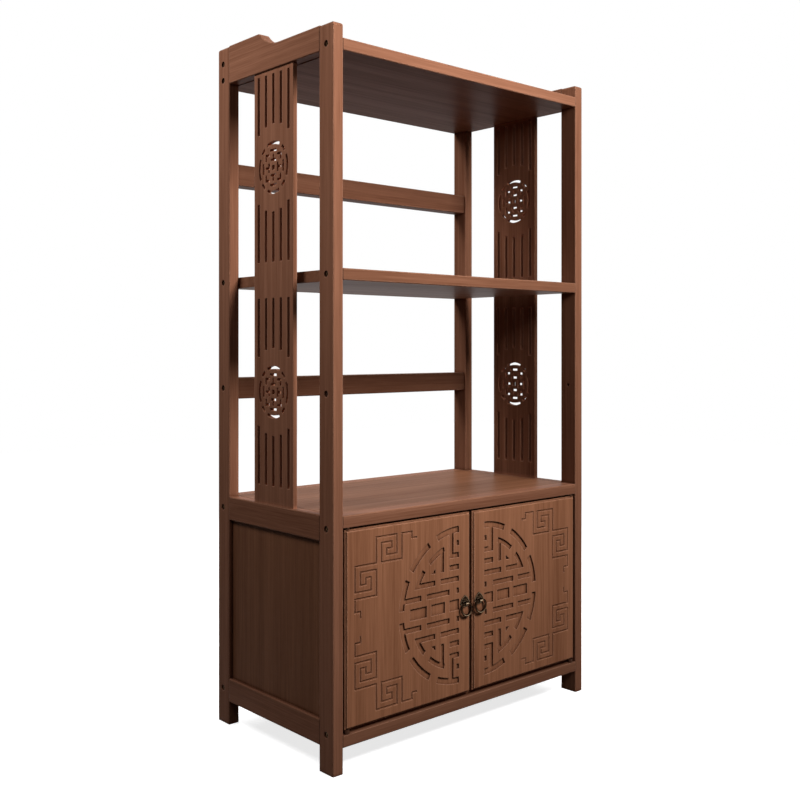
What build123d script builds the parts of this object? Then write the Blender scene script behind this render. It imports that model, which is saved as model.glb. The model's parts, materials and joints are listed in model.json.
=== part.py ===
from build123d import *
import os
from math import acos, cos, degrees, pi, radians, sin, sqrt

# Kitchen storage rack: two side frames of posts, rails and pierced splats carry
# two open shelves over a cabinet with a pair of carved doors.
# Lengths are millimetres. X runs to the right, Y from front to back, Z up.
# Y is counted from the front faces of the posts until the pieces are written.

# Overall size
WIDTH = 700.0
DEPTH = 400.0
FRONT_HEIGHT = 1370.0

# Posts
POST_W = 23.0
POST_D = 43.0
POST_NOSE_R = 8.0
POST_CROWN_R = 6.0
WOOD_EASE = 1.5

# Heights of the shelves and of the cabinet
BOARD_T = 22.0
TOP_TRAY_DEPTH = 27.0
MIDDLE_SHELF_TOP = 923.0
CABINET_TOP = 470.0
FOOT_HEIGHT = 47.0

# Side rails, with the raised ear at the back of the top one
SIDE_RAIL_H = 48.0
EAR_RISE = 30.0
EAR_LENGTH = 150.0
EAR_HOLLOW_R = 90.0
EAR_NOSE_R = 12.0

# Stub tenons that join rails to posts
TENON_T = 9.0
TENON_DEPTH = 12.0
TENON_SHOULDER = 10.0
TENON_CLEARANCE = 0.1

# Back rails
BACK_RAIL_D = 38.0
BACK_RAIL_H = 44.0
GUARD_RAIL_H = 46.0
UPPER_BACK_RAIL_Z = 1137.0
LOWER_BACK_RAIL_Z = 693.0

# Cabinet panels and the grooves and ledges that hold them
SIDE_PANEL_T = 8.0
BACK_PANEL_T = 5.0
FLOOR_PANEL_T = 12.0
GROOVE_DEPTH = 6.0
GROOVE_SIDE_CLEARANCE = 0.1
PANEL_END_CLEARANCE = 0.4
LEDGE_W = 8.0

# Pierced splats
SPLAT_W = 135.0
SPLAT_T = 9.0
SPLAT_RECESS = 4.0
SPLAT_TONGUE = 8.0
SLOT_W = 8.0
SLOT_PITCH = 26.0
SLOTS_EACH_SIDE = 2
SLOT_FAR_REACH = 184.0
SLOT_HALO_R = 86.0
SPLAT_TOP_MARGIN = 8.5
SPLAT_MIDDLE_MARGIN = 71.0
SPLAT_BOTTOM_MARGIN = 36.5
SPLAT_RING_R = 51.5
SPLAT_RING_BAND = 6.0
SPLAT_LONG_ARC = 50.0
SPLAT_SHORT_ARC = 16.0
SPLAT_STROKE = 5.0
SPLAT_BAR_L = 22.0
SPLAT_BAR_REACH = 34.0
SPLAT_CORNER_REACH = 25.0
SPLAT_CORNER_ARM = 14.0
SPLAT_LINK_REACH = 15.0
SPLAT_LINK_L = 18.0
SPLAT_EYE = 9.0

# Doors
DOOR_T = 12.0
DOOR_SIDE_GAP = 5.0
DOOR_CENTRE_GAP = 6.5
DOOR_TOP_GAP = 4.5
DOOR_BOTTOM_GAP = 8.0
DOOR_STEP_W = 3.0
DOOR_STEP_DEPTH = 3.0
DOOR_EDGE_EASE = 1.2
DOOR_HEEL_R = 3.0
STOP_GAP = 0.5

# Roundel carved half on each door
ROUNDEL_R = 158.0
ROUNDEL_BAND = 12.5
ROUNDEL_MARGIN = 32.75
CARVE_DEPTH = 3.5
INNER_RING_R = 128.0
INNER_RING_BAND = 10.0
BAR_T = 10.5
ROW_START = 28.5
ROW_PITCH = 24.0
ROW_COUNT = 5
CENTRE_ROW_H = 22.0

# Layout of the roundel: arcs in degrees from upright, bars out from its straight side
CROWN_ARC = (0.0, 23.0)
SHOULDER_ARC = (31.5, 56.0)
FLANK_ARC = (63.5, 85.7)
HOOK_ARC = (19.0, 40.5)
WING_ARC = (49.5, 65.5)
CROWN_STEM = (15.0, 26.0)
HOOK_STEM = (41.0, 49.5)
TAB_BAR = (0.0, 7.0)
SHORT_BAR = (0.0, 26.0)
LONG_BAR = (0.0, 50.0)
LOOSE_BAR = (26.0, 87.0)
FLANK_BAR_START = 101.0
WING_BAR_START = 64.5
CENTRE_BARS = [(0.0, 26.0), (38.5, 75.0), (87.0, 130.0)]
WEDGE_START = 64.0
WEDGE_L = 11.0
WEDGE_H = 9.0

# Key fret carved in the outer corners of each door
FRET_PITCH_ACROSS = 12.6
FRET_PITCH_UP = 12.1
FRET_ARM = 4
FRET_GROOVE_W = 4.0
FRET_GROOVE_DEPTH = 2.2
FRET_SIDE_MARGIN = 22.2
FRET_TOP_MARGIN = 21.6

# Door pivots
PIVOT_INSET = 7.0
PIVOT_PIN_D = 4.0
PIVOT_PIN_IN_DOOR = 20.0
PIVOT_PIN_IN_RAIL = 7.5
PIVOT_FIT = 0.05
BUSH_D = 7.0
BUSH_FLANGE_D = 10.0
BUSH_SPIGOT = 8.5
BUSH_END_CLEARANCE = 0.2
HEEL_CLEARANCE = 1.0

# Bolts, threaded inserts, plugs and screws, which have flat sides to keep their surfaces few
HEAD_SIDES = 8
SHANK_SIDES = 6
BORE_SIDES = 16
BOLT_D = 6.0
BOLT_HEAD_D = 11.0
BOLT_HEAD_T = 3.0
COUNTERBORE_SIDES = 12
COUNTERBORE_CLEARANCE = 0.5
COUNTERBORE_DEPTH = 6.0
BOLT_HOLE_CLEARANCE = 0.2
BOLT_REACH = 13.0
INSERT_SIZE = 9.0
INSERT_LENGTH = 15.0
INSERT_CLEARANCE = 0.05
PLUG_STEM_L = 12.0

# Magnetic catch under the front rail, with a strike plate on each door
CATCH_W = 52.0
CATCH_D = 24.0
CATCH_H = 16.0
CATCH_FACE_GAP = 0.4
MAGNET_W = 14.0
MAGNET_H = 8.0
MAGNET_D = 6.0
STRIKE_W = 16.0
STRIKE_H = 13.0
STRIKE_T = 1.5
STRIKE_MARGIN = 4.0
SCREW_D = 2.6
SCREW_HEAD_D = 5.6
SCREW_HEAD_T = 0.8
SCREW_LENGTH = 8.0
SCREW_CLEARANCE = 0.05

# Ring pulls
PULL_OFFSET = 20.0
PULL_RISE = 0.5
PLATE_T = 2.0
PLATE_HALF_W = 13.0
PLATE_TOP = 15.5
PLATE_FOOT = 8.5
PLATE_SHOULDER = 8.0
PLATE_SHOULDER_RISE = 9.4
KNUCKLE_D = 6.0
KNUCKLE_L = 9.0
KNUCKLE_STANDOFF = 4.2
RING_R = 14.5
RING_WIRE_D = 5.0
RING_WIRE_SIDES = 8
RING_BENDS = 16
RING_DROP = 11.5
RING_PIN_D = 2.4
RING_PIN_IN = 2.6
RING_PIN_FIT = 0.05
PULL_SCREW_UP = 9.0
PULL_SCREW_DOWN = 5.6
PULL_SCREW_HEAD_D = 4.0
PULL_SCREW_HEAD_T = 1.3
PULL_SCREW_CROWN = 0.8

# Places worked out from the sizes above
BACK_HEIGHT = FRONT_HEIGHT + EAR_RISE
TOP_BOARD_TOP = FRONT_HEIGHT - TOP_TRAY_DEPTH
X_OUT = -WIDTH / 2
X_IN = X_OUT + POST_W
BACK_POST_Y = DEPTH - POST_D
BACK_RAIL_Y = DEPTH - BACK_RAIL_D
FRONT_BOLT_Y = POST_D / 2
BACK_BOLT_Y = DEPTH - BACK_RAIL_D / 2
TOP_RAIL_BOTTOM = FRONT_HEIGHT - SIDE_RAIL_H
CABINET_RAIL_BOTTOM = CABINET_TOP - SIDE_RAIL_H
CABINET_FLOOR = FOOT_HEIGHT + SIDE_RAIL_H
DOOR_HEAD = CABINET_TOP - BOARD_T
DOOR_SILL = FOOT_HEIGHT + BOARD_T
STOP_Y = DOOR_T + STOP_GAP
DOOR_BOTTOM = DOOR_SILL + DOOR_BOTTOM_GAP
DOOR_TOP = DOOR_HEAD - DOOR_TOP_GAP
DOOR_MIDDLE = (DOOR_BOTTOM + DOOR_TOP) / 2
DOOR_HINGE_X = X_IN + DOOR_SIDE_GAP
DOOR_FREE_X = -DOOR_CENTRE_GAP / 2
PIVOT_X = DOOR_HINGE_X + PIVOT_INSET
PIVOT_Y = DOOR_T / 2
HEEL_REACH = sqrt((PIVOT_INSET - DOOR_HEEL_R) ** 2 + (DOOR_T / 2 - DOOR_HEEL_R) ** 2) + DOOR_HEEL_R
PULL_Z = DOOR_MIDDLE + PULL_RISE
KNUCKLE_Y = -PLATE_T - KNUCKLE_STANDOFF
PULL_REACH = -KNUCKLE_Y + KNUCKLE_D / 2
SPLAT_CENTRE_Y = DEPTH / 2
SPLAT_X = X_OUT + SPLAT_RECESS
SHELF_MIDDLE = MIDDLE_SHELF_TOP - BOARD_T / 2
COUNTERBORE_D = BOLT_HEAD_D + 2 * COUNTERBORE_CLEARANCE
BOLT_HOLE_D = BOLT_D + 2 * BOLT_HOLE_CLEARANCE
FRAME_MIDDLE_X = X_OUT + POST_W / 2
CATCH_Y = DOOR_T + STRIKE_T + CATCH_FACE_GAP
CATCH_BOTTOM = CABINET_RAIL_BOTTOM - CATCH_H
CATCH_SCREW_Y = CATCH_Y + (MAGNET_D + CATCH_D) / 2
STRIKE_X = DOOR_FREE_X - STRIKE_MARGIN - STRIKE_W / 2
STRIKE_Z = CATCH_BOTTOM + CATCH_H / 2

FRONT_BOLT_HEIGHTS = [
    TOP_BOARD_TOP - BOARD_T / 2,
    SHELF_MIDDLE,
    CABINET_TOP - SIDE_RAIL_H / 2,
    FOOT_HEIGHT + SIDE_RAIL_H / 2,
]
BACK_BOLT_HEIGHTS = FRONT_BOLT_HEIGHTS + [
    TOP_BOARD_TOP + GUARD_RAIL_H / 2,
    LOWER_BACK_RAIL_Z,
]
SPARE_HOLE_HEIGHTS = [LOWER_BACK_RAIL_Z]


# Plain shapes and helpers
def block(x0, x1, y0, y1, z0, z1):
    """A box between two values on each axis."""
    middle = Pos((x0 + x1) / 2, (y0 + y1) / 2, (z0 + z1) / 2)
    return middle * Box(x1 - x0, y1 - y0, z1 - z0)


def rod_x(x0, x1, y, z, diameter):
    """A round bar along X."""
    return Pos((x0 + x1) / 2, y, z) * Rot(0, 90, 0) * Cylinder(diameter / 2, x1 - x0)


def rod_z(x, y, z0, z1, diameter):
    """A round bar along Z."""
    return Pos(x, y, (z0 + z1) / 2) * Cylinder(diameter / 2, z1 - z0)


def many_sided(across, length, sides):
    """A bar with flat sides along Z from its end, given across its flats, two of which face X."""
    outline = RegularPolygon(across / 2, sides, major_radius=False, rotation=180 / sides)
    return extrude(outline, length)


def bar_x(x0, x1, y, z, across, sides=SHANK_SIDES):
    """A bar with flat sides along X."""
    return Pos(x0, y, z) * Rot(0, 90, 0) * many_sided(across, x1 - x0, sides)


def bar_y(x, y0, y1, z, across, sides=SHANK_SIDES):
    """A bar with flat sides along Y."""
    return Pos(x, y0, z) * Rot(-90, 0, 0) * many_sided(across, y1 - y0, sides)


def bar_z(x, y, z0, z1, across, sides=SHANK_SIDES):
    """A bar with flat sides along Z."""
    return Pos(x, y, z0) * many_sided(across, z1 - z0, sides)


def eased(shape, axis):
    """Takes off the sharp edges of a straight piece that run along its length."""
    return chamfer(shape.edges().filter_by(axis), WOOD_EASE)


def flipped(shape):
    """The right-hand twin of a left-hand piece."""
    return mirror(shape, about=Plane.YZ)


def both_ends(shape):
    """A piece together with its twin at the other end of the rack."""
    return Part() + [shape, flipped(shape)]


# Side frames
def tenon_y(y0, y1, z0, z1, clearance=0.0):
    """Stub tenon on a side rail, or its mortise when it has a clearance."""
    half = TENON_T / 2 + clearance
    low = z0 + TENON_SHOULDER - clearance
    high = z1 - TENON_SHOULDER + clearance
    return block(FRAME_MIDDLE_X - half, FRAME_MIDDLE_X + half, y0, y1, low, high)


def side_rail_spans():
    """Bottom and top of each of the three rails of a side frame."""
    return [
        (TOP_RAIL_BOTTOM, FRONT_HEIGHT),
        (CABINET_RAIL_BOTTOM, CABINET_TOP),
        (FOOT_HEIGHT, CABINET_FLOOR),
    ]


def bolt_hole(y, z):
    """Counterbored bolt hole through a left-hand post."""
    head = bar_x(X_OUT, X_OUT + COUNTERBORE_DEPTH, y, z, COUNTERBORE_D, COUNTERBORE_SIDES)
    return head + bar_x(X_OUT, X_IN, y, z, BOLT_HOLE_D)


def panel_groove(y0, y1, z0, z1):
    """Room that the side panel takes up in the frame round it."""
    half = SIDE_PANEL_T / 2 + GROOVE_SIDE_CLEARANCE
    return block(FRAME_MIDDLE_X - half, FRAME_MIDDLE_X + half, y0, y1, z0, z1)


def post(y0, height, nose_y, joint_y, into, bolt_y, bolt_heights):
    """A post with its top nose, mortises, panel groove and bolt holes."""
    blank = block(X_OUT, X_IN, y0, y0 + POST_D, 0, height)
    top_edges = blank.faces().sort_by(Axis.Z)[-1].edges()
    nose = top_edges.filter_by(Axis.X).sort_by_distance((X_OUT, nose_y, height))[0]
    crown = top_edges.filter_by(Axis.Y)
    body = fillet(nose, POST_NOSE_R) & fillet(crown, POST_CROWN_R) & eased(blank, Axis.Z)
    for z0, z1 in side_rail_spans():
        depth = joint_y + into * (TENON_DEPTH + TENON_CLEARANCE)
        body -= tenon_y(min(joint_y, depth), max(joint_y, depth), z0, z1, TENON_CLEARANCE)
    deep = joint_y + into * GROOVE_DEPTH
    body -= panel_groove(
        min(joint_y, deep),
        max(joint_y, deep),
        CABINET_FLOOR - GROOVE_DEPTH,
        CABINET_RAIL_BOTTOM + GROOVE_DEPTH,
    )
    for z in bolt_heights:
        body -= bolt_hole(bolt_y, z)
    return body


def front_post():
    heights = FRONT_BOLT_HEIGHTS + SPARE_HOLE_HEIGHTS
    return post(0, FRONT_HEIGHT, 0, POST_D, -1, FRONT_BOLT_Y, heights)


def back_tenon(clearance=0.0):
    """Stub tenon at the left end of the upper back rail, or its mortise."""
    half_y = TENON_T / 2 + clearance
    half_z = BACK_RAIL_H / 2 - TENON_SHOULDER + clearance
    return block(
        X_IN - TENON_DEPTH - clearance,
        X_IN,
        BACK_BOLT_Y - half_y,
        BACK_BOLT_Y + half_y,
        UPPER_BACK_RAIL_Z - half_z,
        UPPER_BACK_RAIL_Z + half_z,
    )


def back_groove(x0, x1, z0, z1):
    """Room that the cabinet's back panel takes up in the frame round it."""
    half = BACK_PANEL_T / 2 + GROOVE_SIDE_CLEARANCE
    return block(x0, x1, BACK_BOLT_Y - half, BACK_BOLT_Y + half, z0, z1)


def back_post():
    body = post(BACK_POST_Y, BACK_HEIGHT, DEPTH, BACK_POST_Y, 1, BACK_BOLT_Y, BACK_BOLT_HEIGHTS)
    body -= back_tenon(TENON_CLEARANCE)
    body -= back_groove(
        X_IN - GROOVE_DEPTH, X_IN, CABINET_FLOOR - GROOVE_DEPTH, CABINET_RAIL_BOTTOM + GROOVE_DEPTH
    )
    return body


def splat_groove(z0, z1):
    """Room that a splat's tongue takes up in a rail."""
    side = GROOVE_SIDE_CLEARANCE
    half = SPLAT_W / 2 + PANEL_END_CLEARANCE
    y0 = SPLAT_CENTRE_Y - half
    y1 = SPLAT_CENTRE_Y + half
    return block(SPLAT_X - side, SPLAT_X + SPLAT_T + side, y0, y1, z0, z1)


def top_side_rail():
    """Top rail of a side frame: level at the front, with a raised ear behind."""
    turn = acos(1 - EAR_RISE / (EAR_HOLLOW_R + EAR_NOSE_R))
    run = (EAR_HOLLOW_R + EAR_NOSE_R) * sin(turn)
    start = (DEPTH - EAR_LENGTH - run, FRONT_HEIGHT)
    hollow = JernArc(start, (1, 0), EAR_HOLLOW_R, degrees(turn))
    nose = JernArc(hollow @ 1, hollow % 1, EAR_NOSE_R, -degrees(turn))
    foot_front = (POST_D, TOP_RAIL_BOTTOM)
    foot_back = (BACK_POST_Y, TOP_RAIL_BOTTOM)
    outline = [
        Polyline(start, (POST_D, FRONT_HEIGHT), foot_front, foot_back, (BACK_POST_Y, BACK_HEIGHT), nose @ 1),
        hollow,
        nose,
    ]
    profile = Plane.YZ * make_face(Curve() + outline)
    body = Pos(X_OUT, 0, 0) * extrude(profile, POST_W)
    ends = body.edges().filter_by(Axis.Z)
    across = body.edges().filter_by(Axis.X)
    body = chamfer(body.edges() - ends - across, WOOD_EASE)
    body += tenon_y(POST_D - TENON_DEPTH, POST_D, TOP_RAIL_BOTTOM, FRONT_HEIGHT)
    body += tenon_y(BACK_POST_Y, BACK_POST_Y + TENON_DEPTH, TOP_RAIL_BOTTOM, FRONT_HEIGHT)
    return body - splat_groove(TOP_RAIL_BOTTOM, TOP_RAIL_BOTTOM + SPLAT_TONGUE)


def cabinet_side_rail(z0, z1):
    """Cabinet rail of a side frame, before its grooves."""
    body = eased(block(X_OUT, X_IN, POST_D, BACK_POST_Y, z0, z1), Axis.Y)
    return body + tenon_y(POST_D - TENON_DEPTH, BACK_POST_Y + TENON_DEPTH, z0, z1)


def upper_cabinet_side_rail():
    body = cabinet_side_rail(CABINET_RAIL_BOTTOM, CABINET_TOP)
    body -= splat_groove(CABINET_TOP - SPLAT_TONGUE, CABINET_TOP)
    low = CABINET_RAIL_BOTTOM
    return body - panel_groove(POST_D - GROOVE_DEPTH, BACK_POST_Y + GROOVE_DEPTH, low, low + GROOVE_DEPTH)


def lower_cabinet_side_rail():
    body = cabinet_side_rail(FOOT_HEIGHT, CABINET_FLOOR)
    top = CABINET_FLOOR
    return body - panel_groove(POST_D - GROOVE_DEPTH, BACK_POST_Y + GROOVE_DEPTH, top - GROOVE_DEPTH, top)


def side_panel():
    """Flat panel that floats in the grooves of the posts and cabinet rails."""
    reach = GROOVE_DEPTH - PANEL_END_CLEARANCE
    half = SIDE_PANEL_T / 2
    return block(
        FRAME_MIDDLE_X - half,
        FRAME_MIDDLE_X + half,
        POST_D - reach,
        BACK_POST_Y + reach,
        CABINET_FLOOR - reach,
        CABINET_RAIL_BOTTOM + reach,
    )


# Splats
def ring_piece(outer, band, start, stop):
    """Part of a flat ring. Angles are degrees from upright, turning to the right."""
    def spot(radius, angle):
        return (radius * sin(radians(angle)), radius * cos(radians(angle)))

    inner = outer - band
    middle = (start + stop) / 2
    edges = [
        ThreePointArc(spot(outer, start), spot(outer, middle), spot(outer, stop)),
        Line(spot(outer, stop), spot(inner, stop)),
        ThreePointArc(spot(inner, stop), spot(inner, middle), spot(inner, start)),
        Line(spot(inner, start), spot(outer, start)),
    ]
    return make_face(Curve() + edges)


def patch(s0, s1, t0, t1):
    """A flat rectangle between two values on each axis."""
    return Pos((s0 + s1) / 2, (t0 + t1) / 2) * Rectangle(s1 - s0, t1 - t0)


def splat_roundel():
    """Cut-outs of a pierced roundel: a broken ring round a square fret."""
    half = SPLAT_STROKE / 2
    cuts = [patch(-SPLAT_EYE / 2, SPLAT_EYE / 2, -SPLAT_EYE / 2, SPLAT_EYE / 2)]
    for turn in range(4):
        quarter = Rot(0, 0, 90 * turn)
        cuts.append(ring_piece(SPLAT_RING_R, SPLAT_RING_BAND, 90 * turn - SPLAT_LONG_ARC / 2,
                               90 * turn + SPLAT_LONG_ARC / 2))
        cuts.append(ring_piece(SPLAT_RING_R, SPLAT_RING_BAND, 90 * turn + 45 - SPLAT_SHORT_ARC / 2,
                               90 * turn + 45 + SPLAT_SHORT_ARC / 2))
        bar = patch(-SPLAT_BAR_L / 2, SPLAT_BAR_L / 2, SPLAT_BAR_REACH - half, SPLAT_BAR_REACH + half)
        link = patch(-SPLAT_LINK_L / 2, SPLAT_LINK_L / 2, SPLAT_LINK_REACH - half, SPLAT_LINK_REACH + half)
        stem = patch(-half, half, SPLAT_LINK_REACH, SPLAT_BAR_REACH - SPLAT_STROKE - half)
        outer = SPLAT_CORNER_REACH + half
        inner = SPLAT_CORNER_REACH - half
        tail = SPLAT_CORNER_REACH + half - SPLAT_CORNER_ARM
        corner = patch(tail, outer, inner, outer) + patch(inner, outer, tail, outer)
        cuts += [quarter * bar, quarter * (link + stem), quarter * corner]
    return cuts


def splat_slots(side, far):
    """Row of slots above or below a roundel, with near ends that follow its curve."""
    cuts = []
    for place in range(-SLOTS_EACH_SIDE, SLOTS_EACH_SIDE + 1):
        across = place * SLOT_PITCH
        near = sqrt(SLOT_HALO_R**2 - across**2)
        ends = sorted([side * near, side * far])
        cuts.append(patch(across - SLOT_W / 2, across + SLOT_W / 2, ends[0], ends[1]))
    return cuts


def splat():
    """Pierced board that stands between the top rail and the cabinet rail."""
    tongue = SPLAT_TONGUE - PANEL_END_CLEARANCE
    y0 = SPLAT_CENTRE_Y - SPLAT_W / 2
    y1 = SPLAT_CENTRE_Y + SPLAT_W / 2
    body = block(SPLAT_X, SPLAT_X + SPLAT_T, y0, y1, CABINET_TOP - tongue, TOP_RAIL_BOTTOM + tongue)
    low = CABINET_TOP + SPLAT_BOTTOM_MARGIN + SLOT_FAR_REACH
    high = TOP_RAIL_BOTTOM - SPLAT_TOP_MARGIN - SLOT_FAR_REACH
    to_middle = (high - low - SPLAT_MIDDLE_MARGIN) / 2
    for z, inward in ((low, 1), (high, -1)):
        cuts = splat_roundel() + splat_slots(inward, to_middle) + splat_slots(-inward, SLOT_FAR_REACH)
        face = Plane((SPLAT_X, SPLAT_CENTRE_Y, z), x_dir=(0, 1, 0), z_dir=(1, 0, 0))
        body -= extrude(face * (Sketch() + cuts), SPLAT_T)
    return body


# Boards, rails and panels that tie the side frames together
def insert_holes(y, heights):
    """Six-sided sockets for the threaded inserts at both ends of a piece."""
    across = INSERT_SIZE + 2 * INSERT_CLEARANCE
    end = X_IN + INSERT_LENGTH + BOLT_HOLE_CLEARANCE
    return [both_ends(bar_x(X_IN, end, y, z, across)) for z in heights]


def bolted(shape, places):
    """Cuts the insert sockets of a piece at its bolts, given as Y and Z."""
    for y, z in places:
        shape -= insert_holes(y, [z])
    return shape


def cross_piece(y0, y1, z0, z1):
    """A straight piece from side frame to side frame with eased edges."""
    return eased(block(X_IN, -X_IN, y0, y1, z0, z1), Axis.X)


def shelf_board(top):
    """Solid shelf the whole depth of the rack, bolted at its four corners."""
    body = cross_piece(0, DEPTH, top - BOARD_T, top)
    middle = top - BOARD_T / 2
    return bolted(body, [(FRONT_BOLT_Y, middle), (BACK_BOLT_Y, middle)])


def pivot_relief(z0, z1):
    """Room behind the heel of a door as it swings."""
    right = PIVOT_X + HEEL_REACH + HEEL_CLEARANCE
    return both_ends(block(X_IN, right, STOP_Y, PIVOT_Y + HEEL_REACH + HEEL_CLEARANCE, z0, z1))


def bush_sockets(z0, z1):
    """Holes in a rail for the bushes of both doors."""
    return both_ends(bar_z(PIVOT_X, PIVOT_Y, z0, z1, BUSH_D + 2 * PIVOT_FIT, HEAD_SIDES))


def ledge(top):
    """Step along the back of a front cabinet rail where a panel lies."""
    return block(X_IN, -X_IN, POST_D - LEDGE_W, POST_D, top - FLOOR_PANEL_T, top)


def cabinet_top_front_rail():
    """Front rail over the doors: its lower half is cut back as the door stop."""
    body = cross_piece(0, POST_D, CABINET_RAIL_BOTTOM, CABINET_TOP)
    body -= block(X_IN, -X_IN, 0, STOP_Y, CABINET_RAIL_BOTTOM, DOOR_HEAD)
    body -= pivot_relief(CABINET_RAIL_BOTTOM, DOOR_HEAD)
    body -= ledge(CABINET_TOP)
    body -= bush_sockets(DOOR_HEAD, DOOR_HEAD + BUSH_SPIGOT)
    for x in catch_screw_places():
        body -= bar_z(x, CATCH_SCREW_Y, CABINET_RAIL_BOTTOM, CABINET_RAIL_BOTTOM + SCREW_LENGTH,
                      SCREW_D + 2 * SCREW_CLEARANCE)
    return bolted(body, [(FRONT_BOLT_Y, CABINET_TOP - SIDE_RAIL_H / 2)])


def cabinet_bottom_front_rail():
    """Front rail under the doors: its upper half is cut back as the door stop."""
    body = cross_piece(0, POST_D, FOOT_HEIGHT, CABINET_FLOOR)
    body -= block(X_IN, -X_IN, 0, STOP_Y, DOOR_SILL, CABINET_FLOOR)
    body -= pivot_relief(DOOR_SILL, CABINET_FLOOR)
    body -= ledge(CABINET_FLOOR)
    body -= bush_sockets(DOOR_SILL - BUSH_SPIGOT, DOOR_SILL)
    return bolted(body, [(FRONT_BOLT_Y, FOOT_HEIGHT + SIDE_RAIL_H / 2)])


def cabinet_back_rail(z0, z1, groove_z0, groove_z1):
    """Back rail of the cabinet with its panel ledge and back panel groove."""
    body = cross_piece(BACK_RAIL_Y, DEPTH, z0, z1)
    body -= block(X_IN, -X_IN, BACK_RAIL_Y, BACK_RAIL_Y + LEDGE_W, z1 - FLOOR_PANEL_T, z1)
    body -= back_groove(X_IN, -X_IN, groove_z0, groove_z1)
    return bolted(body, [(BACK_BOLT_Y, (z0 + z1) / 2)])


def floor_panel(top):
    """Flat panel that lies on the ledges of a front and a back cabinet rail."""
    gap = PANEL_END_CLEARANCE
    y0 = POST_D - LEDGE_W + gap
    y1 = BACK_RAIL_Y + LEDGE_W - gap
    return block(X_IN + gap, -X_IN - gap, y0, y1, top - FLOOR_PANEL_T, top)


def cabinet_back_panel():
    reach = GROOVE_DEPTH - PANEL_END_CLEARANCE
    half = BACK_PANEL_T / 2
    z0 = CABINET_FLOOR - reach
    z1 = CABINET_RAIL_BOTTOM + reach
    return block(X_IN - reach, -X_IN + reach, BACK_BOLT_Y - half, BACK_BOLT_Y + half, z0, z1)


def upper_back_rail():
    half = BACK_RAIL_H / 2
    body = cross_piece(BACK_RAIL_Y, DEPTH, UPPER_BACK_RAIL_Z - half, UPPER_BACK_RAIL_Z + half)
    return body + both_ends(back_tenon())


def lower_back_rail():
    half = BACK_RAIL_H / 2
    body = cross_piece(BACK_RAIL_Y, DEPTH, LOWER_BACK_RAIL_Z - half, LOWER_BACK_RAIL_Z + half)
    return bolted(body, [(BACK_BOLT_Y, LOWER_BACK_RAIL_Z)])


def top_guard_rail():
    """Rail that stands on the back of the top board, between the ears."""
    body = cross_piece(BACK_RAIL_Y, DEPTH, TOP_BOARD_TOP, TOP_BOARD_TOP + GUARD_RAIL_H)
    return bolted(body, [(BACK_BOLT_Y, TOP_BOARD_TOP + GUARD_RAIL_H / 2)])


# Fasteners of the left side frame
def bolt_places():
    front = [(FRONT_BOLT_Y, z) for z in FRONT_BOLT_HEIGHTS]
    return front + [(BACK_BOLT_Y, z) for z in BACK_BOLT_HEIGHTS]


def bolt(y, z):
    """Bolt with a flat head sunk in a post."""
    seat = X_OUT + COUNTERBORE_DEPTH
    head = bar_x(seat - BOLT_HEAD_T, seat, y, z, BOLT_HEAD_D, HEAD_SIDES)
    return head + bar_x(seat, X_IN + BOLT_REACH, y, z, BOLT_D)


def insert(y, z):
    """Threaded insert set in the end of a board or rail."""
    body = bar_x(X_IN, X_IN + INSERT_LENGTH, y, z, INSERT_SIZE)
    return body - bar_x(X_IN, X_IN + INSERT_LENGTH, y, z, BOLT_D + 2 * INSERT_CLEARANCE)


def plug(y, z):
    """Plug that closes a post hole where no piece is bolted."""
    seat = X_OUT + COUNTERBORE_DEPTH
    head = bar_x(seat - BOLT_HEAD_T, seat, y, z, BOLT_HEAD_D, HEAD_SIDES)
    return head + bar_x(seat, seat + PLUG_STEM_L, y, z, BOLT_D)


# Doors
def roundel_half():
    """Pockets of half a roundel, with S out from its straight side and T up."""
    half = BAR_T / 2
    rows = [ROW_START + ROW_PITCH * step for step in range(ROW_COUNT)]

    def bar(row, span):
        return patch(span[0], span[1], rows[row] - half, rows[row] + half)

    def outer_arc(arc):
        return ring_piece(ROUNDEL_R, ROUNDEL_BAND, arc[0], arc[1])

    def inner_arc(arc):
        return ring_piece(INNER_RING_R, INNER_RING_BAND, arc[0], arc[1])

    stem = patch(CROWN_STEM[0], CROWN_STEM[1], rows[3] - half, ROUNDEL_R) & Circle(ROUNDEL_R)
    crown = outer_arc(CROWN_ARC) + stem + bar(3, SHORT_BAR)
    flank_bar = bar(0, (FLANK_BAR_START, ROUNDEL_R)) & Circle(ROUNDEL_R)
    flank = outer_arc(FLANK_ARC) + flank_bar
    hook_stem = patch(HOOK_STEM[0], HOOK_STEM[1], rows[2] - half, INNER_RING_R) & Circle(INNER_RING_R)
    hook = inner_arc(HOOK_ARC) + hook_stem
    wing_bar = bar(1, (WING_BAR_START, INNER_RING_R)) & Circle(INNER_RING_R)
    wing = inner_arc(WING_ARC) + wing_bar
    foot = rows[2] - half
    wedge = Polygon(
        (WEDGE_START, foot), (WEDGE_START + WEDGE_L, foot), (WEDGE_START, foot + WEDGE_H), align=None
    )
    upper = [crown, outer_arc(SHOULDER_ARC), flank, hook, wing, wedge]
    upper += [bar(4, TAB_BAR), bar(2, SHORT_BAR), bar(1, LONG_BAR), bar(0, TAB_BAR), bar(0, LOOSE_BAR)]
    lower = [mirror(face, about=Plane.XZ) for face in upper]
    tall = CENTRE_ROW_H / 2
    return upper + lower + [patch(span[0], span[1], -tall, tall) for span in CENTRE_BARS]


def fret_points():
    """Corners of a double key fret, in pitches from its middle, with S outwards."""
    arm = FRET_ARM
    coil = [(arm, 0), (arm, -arm), (1, -arm), (1, -2), (2, -2), (2, -3), (3, -3), (3, -1), (0, -1)]
    tail = [(0, -arm - 1), (arm, -arm - 1), (arm, -arm - 3), (arm - 1, -arm - 3), (arm - 1, -arm - 4)]
    down = coil + tail
    up = [(t, s) for s, t in reversed(down)]
    return up + [(0, 0)] + down


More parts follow.
